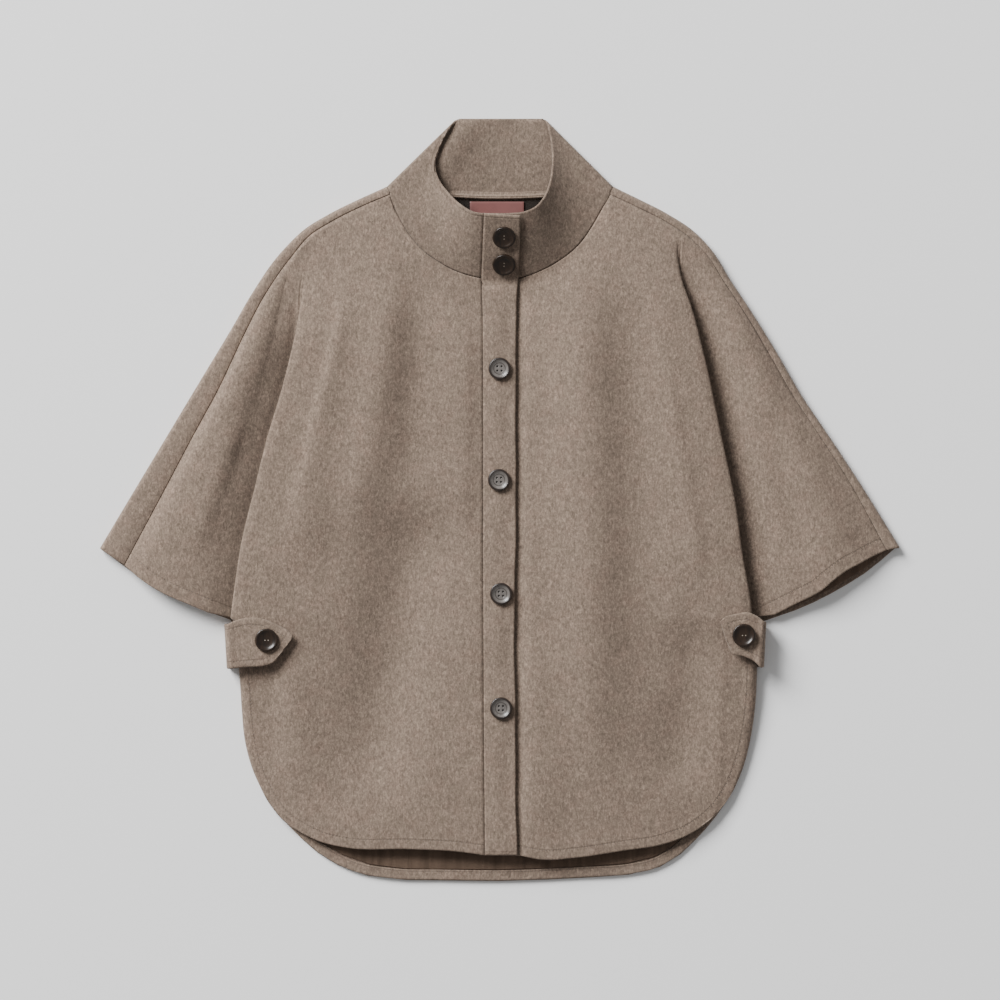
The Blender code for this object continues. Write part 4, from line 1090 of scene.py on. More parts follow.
def quad_mesh(name, points, faces, material, values=None):
    """A smooth-shaded mesh of quads from whole arrays, without the points that no face uses."""
    used, faces = np.unique(faces, return_inverse=True)
    faces = faces.reshape(-1, 4)
    mesh = bpy.data.meshes.new(name)
    mesh.vertices.add(len(used))
    mesh.vertices.foreach_set("co", (points[used] * MM).astype(np.float32).ravel())
    mesh.loops.add(faces.size)
    mesh.loops.foreach_set("vertex_index", faces.astype(np.int32).ravel())
    mesh.polygons.add(len(faces))
    mesh.polygons.foreach_set("loop_start", np.arange(0, faces.size, 4, dtype=np.int32))
    mesh.polygons.foreach_set("loop_total", np.full(len(faces), 4, dtype=np.int32))
    mesh.update(calc_edges=True)
    mesh.validate()
    mesh.shade_smooth()
    for key, value in (values or {}).items():
        mesh.attributes.new(key, "FLOAT", "POINT").data.foreach_set("value", value[used].astype(np.float32))
    mesh.materials.append(material)
    made = bpy.data.objects.new(name, mesh)
    bpy.context.scene.collection.objects.link(made)
    return made


def edge_distance(grid, line):
    """The distance from each point to a line of points, seen from above."""
    flat = grid.reshape(-1, grid.shape[-1])
    best = np.full(len(flat), 1e9)
    a, b = line[:-1, :2], line[1:, :2]
    step = b - a
    size = np.maximum((step**2).sum(axis=1), 1e-9)
    for part in np.array_split(np.arange(len(flat)), max(1, len(flat) // 4000)):
        p = flat[part, None, :2]
        t = np.clip(((p - a) * step).sum(axis=2) / size, 0, 1)
        gap = np.linalg.norm(p - a - t[..., None] * step, axis=2)
        best[part] = gap.min(axis=1)
    return best.reshape(grid.shape[:-1])


def nearest_value(values):
    """Of several signed distances at each point, the one nearest to nought."""
    values = np.stack(values)
    pick = np.abs(values).argmin(axis=0)
    return np.take_along_axis(values, pick[None], axis=0)[0]


def inset_line(line, distance, side):
    """A line of points moved sideways by a distance: side is 1 to its left, -1 to its right."""
    tangent = unit(np.gradient(line[:, :2], axis=0))
    return line[:, :2] + side * distance * np.stack([-tangent[:, 1], tangent[:, 0]], axis=1)


def dress(made, node):
    """A piece rides on the frame's one body and stands for its CAD node."""
    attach(made, "root")
    if node:
        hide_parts(*node.split())


def declare(grid, cells):
    """Takes a sheet's points and its cells, every cell when none are given; it declares nothing."""
    if cells is None:
        cells = all_cells(grid)


def sew(name, nodes, slot, rests_on, grid, thick, material, flip=1, cells=None, **details):
    """A cloth piece: meshed and put on the body in place of its nodes."""
    made = cloth_mesh(name, grid, thick / MM, material, flip, cells, **details)
    dress(made, nodes)
    declare(grid, cells)


# Buttons


def button_mesh(name, across, place, tilt, material, holes, wide, depth):
    """A turned button: a closed profile of radius and height carried round a circle, its face pierced.

    Each hole lowers the face by a smooth well about its own centre.
    """
    profile = columns(BUTTON_OUTLINE, "radius height")
    fine = refine(np.concatenate([profile, np.zeros((len(profile), 1))], axis=1)[None], BUTTON_STEPS)[0]
    radius = np.clip(fine[:, 0], 0, None) * across / 2
    height = fine[:, 1] * BUTTON_THICK
    angle = np.linspace(0, 2 * math.pi, BUTTON_SIDES + 1)
    x = radius[:, None] * np.cos(angle)
    y = radius[:, None] * np.sin(angle)
    z = height[:, None] + 0 * x
    well = np.zeros(x.shape)
    for hole_x, hole_y in holes:
        gap = np.hypot(x - hole_x, y - hole_y)
        well = np.maximum(well, 1 - soft_step((gap - wide) / 0.4))
    well[: BUTTON_STEPS * BUTTON_FACE] = 0
    z = z - depth * well
    lean_y = y * math.cos(tilt) - z * math.sin(tilt)
    lean_z = y * math.sin(tilt) + z * math.cos(tilt)
    grid = np.stack([x, lean_y, lean_z], axis=2) + np.array(place)
    share = np.repeat((radius / (across / 2))[:, None], grid.shape[1], axis=1)
    return round_mesh(name, grid, material, {"ring": share, "well": well})


def round_mesh(name, grid, material, values):
    """A grid whose last column meets its first and whose first and last rows are poles."""
    rows, cols = grid.shape[:2]
    keep = cols - 1
    points = grid[:, :keep].reshape(-1, 3)
    at = np.arange(rows * keep).reshape(rows, keep)
    after = np.roll(at, -1, axis=1)
    quads = np.stack([at[:-1], after[:-1], after[1:], at[1:]], axis=2).reshape(-1, 4)
    flat = {key: value[:, :keep].reshape(-1) for key, value in values.items()}
    made = quad_mesh(name, points, quads, material, flat)
    merge = made.modifiers.new("Close poles", "WELD")
    merge.merge_threshold = 1e-6
    return made


def placket_height(y):
    """The height of the placket's middle at a place down the garment."""
    return float(by_y(PLACKET, "height", [y])[0, 0]) + PLACKET_PROUD + PLACKET_CROWN


# Stitching


def upward(grid, cells, flip, least):
    """The points and normals of a surface where its normal rises by more than the least share."""
    normals = surface_normals(grid, cells, flip)
    cloth = np.pad(cells, ((0, 1), (0, 1))) | np.pad(cells, ((1, 0), (1, 0)))
    used = cloth & (normals[..., 2] > least)
    return grid[used], normals[used]


def heights_on(surface, cells, flip, xy):
    """The height and normal of a surface above places: its nearest points' tangent planes, weighted."""
    points, normals = upward(surface, cells, flip, 0.35)
    gap = ((xy[:, None] - points[None, :, :2]) ** 2).sum(axis=2)
    near = np.argpartition(gap, 4, axis=1)[:, :4]
    weight = 1 / (np.take_along_axis(gap, near, axis=1) + 0.05)
    weight = weight / weight.sum(axis=1, keepdims=True)
    at, way = points[near], normals[near]
    slope = -(way[..., :2] / way[..., 2:]) * (xy[:, None] - at[..., :2])
    z = ((at[..., 2] + slope.sum(axis=2)) * weight).sum(axis=1)
    return z, unit((way * weight[..., None]).sum(axis=1))


def even_line(line, pitch):
    """Points a stitch apart along a line, each a centre, with the line's direction there."""
    at = lengths(line)
    count = max(int(at[-1] / pitch), 1)
    where = (np.arange(count) + 0.5) * at[-1] / count
    spots = []
    for shift in (-0.4, 0, 0.4):
        spots.append(np.stack([np.interp(where + shift, at, column) for column in line.T], axis=1))
    behind, place, ahead = spots
    return place, unit(ahead - behind)


def thread_mesh(name, places, ways, ups, length, width, material):
    """Stitches: one short humped thread, swept round its axis, set at each place along its direction."""
    along_it = np.array([-0.5, -0.32, 0.0, 0.32, 0.5]) * length
    thick = np.array([0.25, 0.85, 1.0, 0.85, 0.25]) * width / 2
    hump = np.array([-0.55, 0.1, 0.32, 0.1, -0.55]) * width
    angle = np.linspace(0, 2 * math.pi, 6, endpoint=False)
    side = unit(np.cross(ups, ways))
    up = unit(np.cross(ways, side))
    local = np.zeros((len(along_it), len(angle), 3))
    local[..., 0] = along_it[:, None]
    local[..., 1] = thick[:, None] * np.cos(angle)
    local[..., 2] = hump[:, None] + thick[:, None] * np.sin(angle)
    axes = np.stack([ways, side, up], axis=1)
    points = places[:, None, None] + np.einsum("rak,nkx->nrax", local, axes)
    count, rows, cols = points.shape[:3]
    at = np.arange(rows * cols).reshape(rows, cols)
    after = np.roll(at, -1, axis=1)
    quads = np.stack([at[:-1], after[:-1], after[1:], at[1:]], axis=2).reshape(-1, 4)
    caps = np.array([[0, 5, 4, 1], [1, 4, 3, 2]])
    last = (rows - 1) * cols
    ends = np.concatenate([caps, caps[:, ::-1] + last])
    one = np.concatenate([quads, ends])
    faces = (one[None] + (np.arange(count) * rows * cols)[:, None, None]).reshape(-1, 4)
    return quad_mesh(name, points.reshape(-1, 3), faces, material)


# Materials


def node(tree, kind, inputs=None, **settings):
    """A new node with its settings, and its inputs as values or as other nodes' sockets."""
    made = tree.nodes.new(kind)
    for key, value in settings.items():
        setattr(made, key, value)
    for key, value in (inputs or {}).items():
        if isinstance(value, bpy.types.NodeSocket):
            tree.links.new(value, made.inputs[key])
        else:
            made.inputs[key].default_value = value
    return made


def sums(tree, operation, first, second=0.0):
    """The outcome of one operation on two values."""
    return node(tree, "ShaderNodeMath", {0: first, 1: second}, operation=operation).outputs[0]


def weighed(tree, first, second):
    """The sum of two values, each times its share."""
    return sums(tree, "ADD", sums(tree, "MULTIPLY", *first), sums(tree, "MULTIPLY", *second))


def spread(tree, value, low, high, at_low, at_high, **settings):
    """A value carried from one range to another and held at its ends."""
    inputs = {0: value, 1: low, 2: high, 3: at_low, 4: at_high}
    return node(tree, "ShaderNodeMapRange", inputs, **settings).outputs[0]


def read(tree, name):
    """The value that a mesh carries at each point."""
    return node(tree, "ShaderNodeAttribute", attribute_name=name).outputs["Fac"]


def wave(tree, place, scale, bend, **settings):
    """Even bands across the coordinates, as sines."""
    inputs = {"Vector": place, "Scale": scale, "Distortion": bend}
    return node(tree, "ShaderNodeTexWave", inputs, **settings).outputs["Fac"]


def noise(tree, place, scale, detail=3.0, rough=0.55, bend=0.0):
    """Smooth noise, layered detail times, each layer rough times as strong as the one before."""
    inputs = {"Vector": place, "Scale": scale, "Detail": detail, "Roughness": rough, "Distortion": bend}
    return node(tree, "ShaderNodeTexNoise", inputs).outputs["Fac"]


def turned(tree, place, degrees, scale):
    """The coordinates turned about Z and stretched, so that a pattern's grain runs one way."""
    inputs = {"Vector": place, "Rotation": (0, 0, math.radians(degrees)), "Scale": scale}
    return node(tree, "ShaderNodeMapping", inputs).outputs["Vector"]


def blend_colour(tree, share, first, second, way="MIX"):
    """The first colour with a share of the second mixed or multiplied in."""
    made = node(tree, "ShaderNodeMix", {0: share, 6: first, 7: second}, data_type="RGBA", blend_type=way)
    return made.outputs[2]


def toned(tree, shade, share):
    """A colour times a value."""
    return node(tree, "ShaderNodeVectorMath", {0: shade, "Scale": share}, operation="SCALE").outputs[0]


def scaled(colour, share):
    """A plain colour times a number."""
    return tuple(c * share for c in colour[:3]) + (1.0,)


def ramp(tree, value, colour, *stops):
    """A colour that follows a value: at each stop's place, the plain colour times the stop's share."""
    made = node(tree, "ShaderNodeValToRGB", {0: value})
    band = made.color_ramp
    first, *inner, last = [(place, scaled(colour, share)) for place, share in stops]
    band.elements[0].position, band.elements[0].color = first
    band.elements[1].position, band.elements[1].color = last
    for place, tone in inner:
        band.elements.new(place).color = tone
    return made.outputs[0]


def new_material(name, rough):
    """A new material with its node tree, shader and coordinates, or the one already made, alone."""
    made = bpy.data.materials.get(name)
    if made:
        return made, None, None, None
    made = bpy.data.materials.new(name)
    made.use_nodes = True
    tree = made.node_tree
    shader = tree.nodes["Principled BSDF"]
    shader.inputs["Roughness"].default_value = rough
    place = node(tree, "ShaderNodeTexCoord").outputs["Object"]
    return made, tree, shader, place


def paint(tree, shader, shade, height=None, strength=0.0, depth=0.0):
    """Gives the shader its colour and, where there is a height, its relief."""
    tree.links.new(shade, shader.inputs["Base Color"])
    if height:
        relief = node(tree, "ShaderNodeBump", {"Height": height, "Strength": strength, "Distance": depth})
        tree.links.new(relief.outputs[0], shader.inputs["Normal"])


def wool_material(name, colour):
    """Felted wool: crossed streaks of fibre, flecks, slow tints of rose and green, a napped surface.

    A groove runs along the rows of stitches, where the mesh's "stitch" value nears nought; there its nap is
    lowered and its colour darkened as painted shade.
    """
    made, tree, shader, place = new_material(name, 0.92)
    if tree is None:
        return made
    one = noise(tree, turned(tree, place, 20, (1.0, 0.36, 1.0)), 640, 3, 0.65, 0.8)
    two = noise(tree, turned(tree, place, -35, (1.0, 0.4, 1.0)), 560, 3, 0.65, 0.8)
    fleck = noise(tree, place, 330, 4, 0.74, 0.9)
    grain = weighed(tree, (sums(tree, "ADD", one, two), 0.3), (fleck, 0.4))
    shade = ramp(tree, grain, colour, (0.36, 0.5), (0.47, 0.84), (0.53, 1.09), (0.64, 1.7))
    slow = noise(tree, place, 55, 3, 0.6)
    cloud = noise(tree, place, 95, 2, 0.6, 0.6)
    shade = toned(tree, shade, spread(tree, cloud, 0.3, 0.7, 0.93, 1.07))
    rose = spread(tree, slow, 0.5, 0.75, 0.0, 0.35)
    green = spread(tree, slow, 0.5, 0.25, 0.0, 0.3)
    shade = blend_colour(tree, rose, shade, (1.08, 0.97, 0.96, 1), "MULTIPLY")
    shade = blend_colour(tree, green, shade, (0.95, 1.0, 0.95, 1), "MULTIPLY")
    nap = weighed(tree, (grain, 1.0), (noise(tree, place, 1500, 2), 0.35))
    reach = sums(tree, "ABSOLUTE", read(tree, "stitch"))
    groove = spread(tree, reach, 0.2, 1.1, 1.0, 0.0, interpolation_type="SMOOTHSTEP")
    # Painted shade: the colour is darkened a little along the stitch groove.
    painted_groove_shade = sums(tree, "MULTIPLY", groove, 0.2)
    shade = blend_colour(tree, painted_groove_shade, shade, (0.45, 0.42, 0.4, 1), "MULTIPLY")
    nap = sums(tree, "SUBTRACT", nap, sums(tree, "MULTIPLY", groove, 0.6))
    paint(tree, shader, shade, nap, 0.55, 0.0007)
    shader.inputs["Sheen Weight"].default_value = 0.18
    shader.inputs["Sheen Roughness"].default_value = 0.45
    shader.inputs["Sheen Tint"].default_value = (0.95, 0.9, 0.85, 1)
    shader.inputs["Specular IOR Level"].default_value = 0.15
    return made


def lining_material(name, colour):
    """Twill lining: a fine slanting weave, with soft creases that run down the body, their light and shade
    painted into the colour; painted shade darkens it in the neck.
    """
    made, tree, shader, place = new_material(name, 0.6)
    if tree is None:
        return made
    weave = wave(tree, turned(tree, place, 32, (1, 1, 1)), 420.0, 1.0)
    crease = noise(tree, turned(tree, place, 4, (1.0, 0.12, 1.0)), 130, 2, 0.5, 0.4)
    # The colour follows the weave's tone and, as painted light and shade, the soft creases.
    shade = ramp(tree, weighed(tree, (weave, 0.35), (crease, 0.65)), colour, (0.25, 0.55), (0.75, 1.5))
    # Painted shade: the colour darkens towards the neck, where the collar shades the lining.
    up = node(tree, "ShaderNodeSeparateXYZ", {0: place}).outputs["Y"]
    shade = toned(tree, shade, spread(tree, up, 0.2, 0.28, 1.0, 0.09))
    paint(tree, shader, shade, weighed(tree, (weave, 0.12), (crease, 1.0)), 0.6, 0.0025)
    shader.inputs["Specular IOR Level"].default_value = 0.1
    return made


def label_material(name, colour):
    """A bare woven satin label: fine cross threads and a faint fading."""
    made, tree, shader, place = new_material(name, 0.42)
    if tree is None:
        return made
    thread = wave(tree, place, 330.0, 0.3, bands_direction="Y")
    mixed = weighed(tree, (thread, 0.3), (noise(tree, place, 70, 3, 0.6), 0.7))
    paint(tree, shader, ramp(tree, mixed, colour, (0.2, 0.78), (0.8, 1.2)), mixed, 0.3, 0.0003)
    shader.inputs["Sheen Weight"].default_value = 0.2
    return made


def dark_button_material(name, colour):
    """Polished dark horn with slow streaks across, and pale thread in its two holes."""
    made, tree, shader, place = new_material(name, 0.32)
    if tree is None:
        return made
    streak = noise(tree, turned(tree, place, 20, (1, 0.25, 1)), 260, 4, 0.6, 1.0)
    shade = ramp(tree, streak, colour, (0.35, 0.7), (0.7, 1.8))
    shade = blend_colour(tree, read(tree, "well"), shade, (0.3, 0.25, 0.2, 1))
    paint(tree, shader, shade, streak, 0.15, 0.0002)
    shader.inputs["Specular IOR Level"].default_value = 0.5
    return made


def grey_button_material(name, colour, rim_colour):
    """Grey shell: fine turned grooves and cloudy patches inside a dark brown rim; painted shade makes the
    holes near black.
    """
    made, tree, shader, place = new_material(name, 0.34)
    if tree is None:
        return made
    ring = read(tree, "ring")
    face = ramp(tree, noise(tree, place, 240, 4, 0.6, 0.8), colour, (0.3, 0.72), (0.7, 1.3))
    groove = sums(tree, "SINE", sums(tree, "MULTIPLY", ring, 60.0))
    light = sums(tree, "MULTIPLY", sums(tree, "ADD", groove, 1.0), 0.1)
    face = blend_colour(tree, light, face, (0.5, 0.48, 0.46, 1), "MULTIPLY")
    # Painted shade: a dark ring at about half the radius, where the face meets the rim's slope, stands for a
    # groove's shade.
    inner = sums(tree, "ABSOLUTE", sums(tree, "SUBTRACT", ring, 0.52))
    inner = spread(tree, inner, 0.02, 0.06, 0.75, 0.0)
    face = blend_colour(tree, inner, face, (0.2, 0.17, 0.15, 1), "MULTIPLY")
    rim = spread(tree, ring, 0.76, 0.83, 0.0, 1.0, interpolation_type="SMOOTHSTEP")
    shade = blend_colour(tree, rim, face, scaled(rim_colour, 1.0))
    # Painted shade: the holes are painted near black.
    shade = blend_colour(tree, read(tree, "well"), shade, (0.012, 0.008, 0.006, 1))
    paint(tree, shader, shade, groove, 0.25, 0.0002)
    shader.inputs["Coat Weight"].default_value = 0.35
    shader.inputs["Coat Roughness"].default_value = 0.2
    return made


def thread_material(name, colour):
    """Sewing thread: a fine twist of light and shade."""
    made, tree, shader, place = new_material(name, 0.6)
    if tree is None:
        return made
    twist = wave(tree, turned(tree, place, 35, (1, 1, 1)), 900.0, 0.5)
    paint(tree, shader, ramp(tree, twist, colour, (0.0, 0.7), (1.0, 1.15)))
    shader.inputs["Sheen Weight"].default_value = 0.15
    return made


def floor_material(name, colour):
    """A plain pale floor with the faintest unevenness of tone."""
    made, tree, shader, place = new_material(name, 0.9)
    if tree is None:
        return made
    paint(tree, shader, ramp(tree, noise(tree, place, 2.0, 2, 0.5), colour, (0.3, 0.995), (0.7, 1.0)))
    shader.inputs["Specular IOR Level"].default_value = 0.1
    return made


# The sizes and colours that a user would change


def number(name, description, default, **kind):
    """A number that isn't below nought."""
    return FloatProperty(name=name, description=description, default=default, min=0.0, **kind)


def size(name, description, default):
    """A length in metres."""
    return number(name, description, default, unit="LENGTH")


def colour(name, description, default):
    """A colour with its opacity."""
    kind = {"size": 4, "min": 0, "max": 1, "subtype": "COLOR"}
    return FloatVectorProperty(name=name, description=description, default=default, **kind)


class PONCHO_PG_cloth(bpy.types.PropertyGroup):
    """Cloth thicknesses, folds, stitching and colours"""

    wool: size("Wool", "Thickness of the wool panels", 0.0022)
    collar: size("Collar", "Thickness of the collar", 0.0024)
    placket: size("Placket", "Thickness of the sewn button strip", 0.003)
    tab: size("Tab", "Thickness of the waist tabs", 0.0026)
    lining: size("Lining", "Thickness of the lining", 0.001)
    facing: size("Facing", "Thickness of the strip inside the back hem", 0.0016)
    label: size("Label", "Thickness of the neck label", 0.0008)
    crease_strength: number("Creases", "Height of the folds and creases", 1.8, subtype="FACTOR")
    unevenness: size("Unevenness", "How far laid cloth stands off its smooth shape", 0.0004)
    hem_stitch: size("Hem stitching", "From the hem and side edges to their stitching", 0.0098)
    cuff_stitch: size("Cuff stitching", "From the cuffs to their stitching", 0.013)
    rim_stitch: size("Rim stitching", "From the collar's and placket's edges to their stitching", 0.003)
    tab_stitch: size("Tab stitching", "From the tabs' edges to their stitching", 0.0066)
    stitch_length: size("Stitch", "Length of a stitch with its gap", 0.0034)
    thread_width: size("Thread", "Width of the sewing thread", 0.0006)
    wool_colour: colour("Wool colour", "Mean colour of the wool", (0.2, 0.149, 0.115, 1))
    # Painted shade: the collar's wool is the body's wool times this factor.
    collar_painted_shade: number("Collar shade", "Tone of the collar beside the body", 0.85, subtype="FACTOR")
    lining_colour: colour("Lining colour", "Mean colour of the lining", (0.13, 0.088, 0.063, 1))
    label_colour: colour("Label colour", "Colour of the bare label", (0.17, 0.064, 0.058, 1))
    thread_colour: colour("Thread colour", "Colour of the sewing thread", (0.15, 0.115, 0.09, 1))


class PONCHO_PG_buttons(bpy.types.PropertyGroup):
    """Button sizes and colours"""

    dark_across: size("Dark buttons", "Across the dark buttons", 0.023)
    grey_across: size("Grey buttons", "Across the grey buttons", 0.022)
    hole_spacing: size("Holes", "Side of the square on which a grey button's holes lie", 0.0042)
    dark_colour: colour("Dark colour", "Colour of the dark buttons", (0.014, 0.0075, 0.004, 1))
    grey_colour: colour("Grey colour", "Colour of the grey buttons' face", (0.132, 0.118, 0.108, 1))
    rim_colour: colour("Rim colour", "Colour of the grey buttons' rim", (0.018, 0.011, 0.008, 1))


class PONCHO_PG_stage(bpy.types.PropertyGroup):
    """Floor, lights and camera"""

    floor_colour: colour("Floor", "Colour of the floor", (0.93, 0.93, 0.93, 1))
    key_power: number("Key light", "Power of the soft light from the upper left", 2080.0, unit="POWER")
    key_size: size("Key light size", "Side of the soft light", 4.2)
    fill: number("Fill", "Strength of the even light from all round", 0.32, subtype="FACTOR")
    camera_height: size("Camera height", "Height of the camera above the table", 6.0)
    view_width: size("View width", "Width of the table that the camera takes in", 1.0)


def cloth_settings():
    """The cloth's sizes and colours as they are set now."""
    return bpy.context.scene.poncho_cloth


def wool():
    """The wool of every panel but the collar."""
    return wool_material("felted_wool", cloth_settings().wool_colour)


def collar_wool_painted_shade():
    """The collar's wool: the body's wool darkened by the collar's factor, a painted shade for the collar's
    darker look.
    """
    cloth = cloth_settings()
    return wool_material("felted_wool_painted_shade", scaled(cloth.wool_colour, cloth.collar_painted_shade))


def hem_outline(side):
    """A front's hem from the placket to the corner and on up its side edge to the cuff."""
    half = HALVES[side]
    t = np.linspace(0, 1, 160)
    hem = along(half["hem"], "x y", t)
    up = along(half["side"], "x y", t)[::-1]
    return np.concatenate([hem, up[1:]])


def cuff_outline(side):
    """A sleeve's cuff from the fold to the overarm seam, carried straight on past both."""
    line = along(HALVES[side]["cuff"], "x y", np.linspace(0, 1, 80))
    before = line[0] + (line[0] - line[1]) * 30
    after = line[-1] + (line[-1] - line[-2]) * 30
    return np.concatenate([before[None], line, after[None]])


class PONCHO_OT_back(bpy.types.Operator):
    """The back panel with its rolled overarm edges"""

    bl_idname = "poncho.back"
    bl_label = "Back"

    def execute(self, context):
        cloth = cloth_settings()
        grid, cells, n_rows, _, _ = back_surface(cloth)
        normals = np.full(grid.shape, np.nan)
        normals[:n_rows, 0] = UP
        normals[:n_rows, -1] = UP
        normals[grid[..., 2] == 0] = -UP
        far = np.full(grid.shape[:2], NO_LINE)
        nodes = "back back_edge_right back_edge_left"
        details = {"normals": normals, "line": far}
        sew("back_cloth", nodes, "wool", "floor", grid, cloth.wool, wool(), -1, cells, **details)
        return {"FINISHED"}


def front_normals(grid, n_upper, n_lower):
    """Straight up along the seams and the placket, and level outwards where the skirt ends in the fold."""
    normals = np.full(grid.shape, np.nan)
    normals[0] = UP
    normals[:n_upper, -1] = UP
    normals[:, 0] = UP
    rolled = (len(SIDE_IN) - 1) * CHAIN_STEPS
    below = grid[n_upper:, n_lower - 1, :2] - grid[n_upper:, n_lower - 1 - rolled, :2]
    normals[n_upper:, n_lower - 1, :2] = unit(below)
    normals[n_upper:, n_lower - 1, 2] = 0
    return normals


class PONCHO_OT_fronts(bpy.types.Operator):
    """The two fronts with their sleeves, creases and folds"""

    bl_idname = "poncho.fronts"
    bl_label = "Fronts"

    def execute(self, context):
        cloth = cloth_settings()
        for side, half in HALVES.items():
            grid, cells, n_upper, n_lower = front_surface(side, cloth)
            normals = front_normals(grid, n_upper, n_lower)
            hem = edge_distance(grid, hem_outline(side)) - cloth.hem_stitch / MM
            cuff = edge_distance(grid, cuff_outline(side)) - cloth.cuff_stitch / MM
            hem[:n_upper] = NO_LINE
            cuff[n_upper:] = NO_LINE
            cuff[:, :n_lower] = NO_LINE
            name = "front_" + side
            details = {"normals": normals, "line": nearest_value([hem, cuff]), "rim": seam_rim(grid, RIM)}
            details |= {"flip": half["out"], "cells": cells}
            sew(name + "_cloth", name, "wool", "back_cloth", grid, cloth.wool, wool(), **details)
        return {"FINISHED"}


class PONCHO_OT_collar(bpy.types.Operator):
    """The funnel collar"""

    bl_idname = "poncho.collar"
    bl_label = "Collar"

    def execute(self, context):
        cloth = cloth_settings()
        grid = collar_surface(cloth)
        normals = np.full(grid.shape, np.nan)
        normals[grid[..., 2] < 0.01] = -UP
        line = edge_distance(grid, grid[-1]) - cloth.rim_stitch / MM
        line[:, grid.shape[1] // 3 :] = NO_LINE
        details = {"normals": normals, "line": line, "rim": seam_rim(grid, RIMS["collar"])}
        sew("collar_cloth", "collar", "wool", "back_cloth", grid, cloth.collar, collar_wool_painted_shade(), **details)
        return {"FINISHED"}


class PONCHO_OT_placket(bpy.types.Operator):
    """The button strip over the collar and the front edge"""

    bl_idname = "poncho.placket"
    bl_label = "Placket"

    def execute(self, context):
        cloth = cloth_settings()
        grid = placket_surface(cloth)
        ends = nearest_value([edge_distance(grid, grid[0]), edge_distance(grid, grid[-1])])
        details = {"line": ends - cloth.rim_stitch / MM, "rim": seam_rim(grid, RIMS["placket"])}
        sew("placket_cloth", "placket", "wool", "front_left_cloth", grid, cloth.placket, wool(), **details)
        return {"FINISHED"}


def lining_surface(cloth):
    """The lining: the back's flat points, its outline drawn in square to itself, more along the hem."""
    grid, cells, n_rows, first, last = back_surface(cloth, 6, 12, 12)
    begin = ROLL_STEPS + 2
    flat = grid[:, begin : grid.shape[1] - begin, :2].copy()
    inner = cells[:, begin : cells.shape[1] - begin]
    first -= begin
    last -= begin
    rows, cols = flat.shape[:2]
    armpit = n_rows - 1
    runs = (
        (np.arange(n_rows), 0),
        (armpit, np.arange(1, first + 1)),
        (np.arange(n_rows, rows), first),
        (rows - 1, np.arange(first + 1, last + 1)),
        (np.arange(rows - 2, armpit - 1, -1), last),
        (armpit, np.arange(last + 1, cols)),
        (np.arange(armpit - 1, -1, -1), cols - 1),
        (0, np.arange(cols - 2, 0, -1)),
    )
    ring = np.concatenate([np.stack(np.broadcast_arrays(r, c), axis=1) for r, c in runs])
    loop = flat[ring[:, 0], ring[:, 1]]
    distance = np.full(len(ring), LINING_IN)
    distance[ring[:, 0] == 0] = LINING_IN_NECK
    distance[ring[:, 0] == rows - 1] = LINING_IN_HEM
    at_armpit = (ring[:, 0] >= armpit) & (ring[:, 0] < armpit + 4)
    at_side = (ring[:, 1] == first) | (ring[:, 1] == last)
    distance[at_armpit & at_side] = LINING_IN_ARMPIT
    before = unit(loop - np.roll(loop, 1, axis=0))
    after = unit(np.roll(loop, -1, axis=0) - loop)
    side_before = np.stack([-before[:, 1], before[:, 0]], axis=1)
    side_after = np.stack([-after[:, 1], after[:, 0]], axis=1)
    both = unit(side_before + side_after)
    scale = 1 / np.maximum((both * side_after).sum(axis=1), 0.5)
    flat[ring[:, 0], ring[:, 1]] = loop + both * (distance * scale)[:, None]
    pit = flat[armpit].copy()
    body = slice(first, last + 1)
    pit[body] = pit[first] + (pit[last] - pit[first]) * SKIRT_ACROSS[:, None]
    u = across_shares()
    v = np.linspace(0, 1, armpit + 1)
    flat[: armpit + 1] = coons(flat[0], pit, flat[: armpit + 1, 0], flat[: armpit + 1, -1], u, v)
    v = np.linspace(0, 1, rows - armpit)
    flat[armpit:, body] = coons(
        pit[body], flat[-1, body], flat[armpit:, first], flat[armpit:, last], SKIRT_ACROSS, v
    )
    height = np.full(flat.shape[:2] + (1,), LINING_BASE + cloth.lining / MM)
    return np.concatenate([flat, height], axis=2), inner


def facing_strip(cloth):
    """The back's hem line, and the strip inside it: rows set in square to the hem at one height."""
    hem = back_hem(np.linspace(0.006, 0.994, FACING_COLS))
    flat = np.stack([inset_line(hem, distance, 1) for distance in FACING_IN])
    height = np.full(flat.shape[:2] + (1,), LINING_BASE + cloth.facing / MM)
    return hem, np.concatenate([flat, height], axis=2)


def neck_ridge():
    """The turned seam at the foot of the inner collar: a flat strip that ends in a low double roll."""
    x = np.linspace(-RIDGE_REACH, RIDGE_REACH, 90)
    line = neck_back()
    foot = np.interp(x, line[:, 0], line[:, 1])
    t = np.linspace(0, 1, 17)[:, None]
    roll = np.sin(np.pi * np.clip(t, 0.001, 0.999)) ** 0.5
    notch = 0.28 * np.exp(-(((t - 0.45) / 0.09) ** 2))
    y = foot + RIDGE_ABOVE * (1 - t) - 0.6 * t
    z = RIDGE_BASE + RIDGE_HIGH * roll * (1 - notch) + 0.12 * np.sin(x / 7.0)
    flat = np.array([[3.0], [1.5]])
    y = np.concatenate([foot + RIDGE_ABOVE + flat, y])
    z = np.concatenate([RIDGE_BASE + 0 * flat + 0 * x, z])
    return np.stack([np.broadcast_to(x, y.shape), y, z], axis=2)


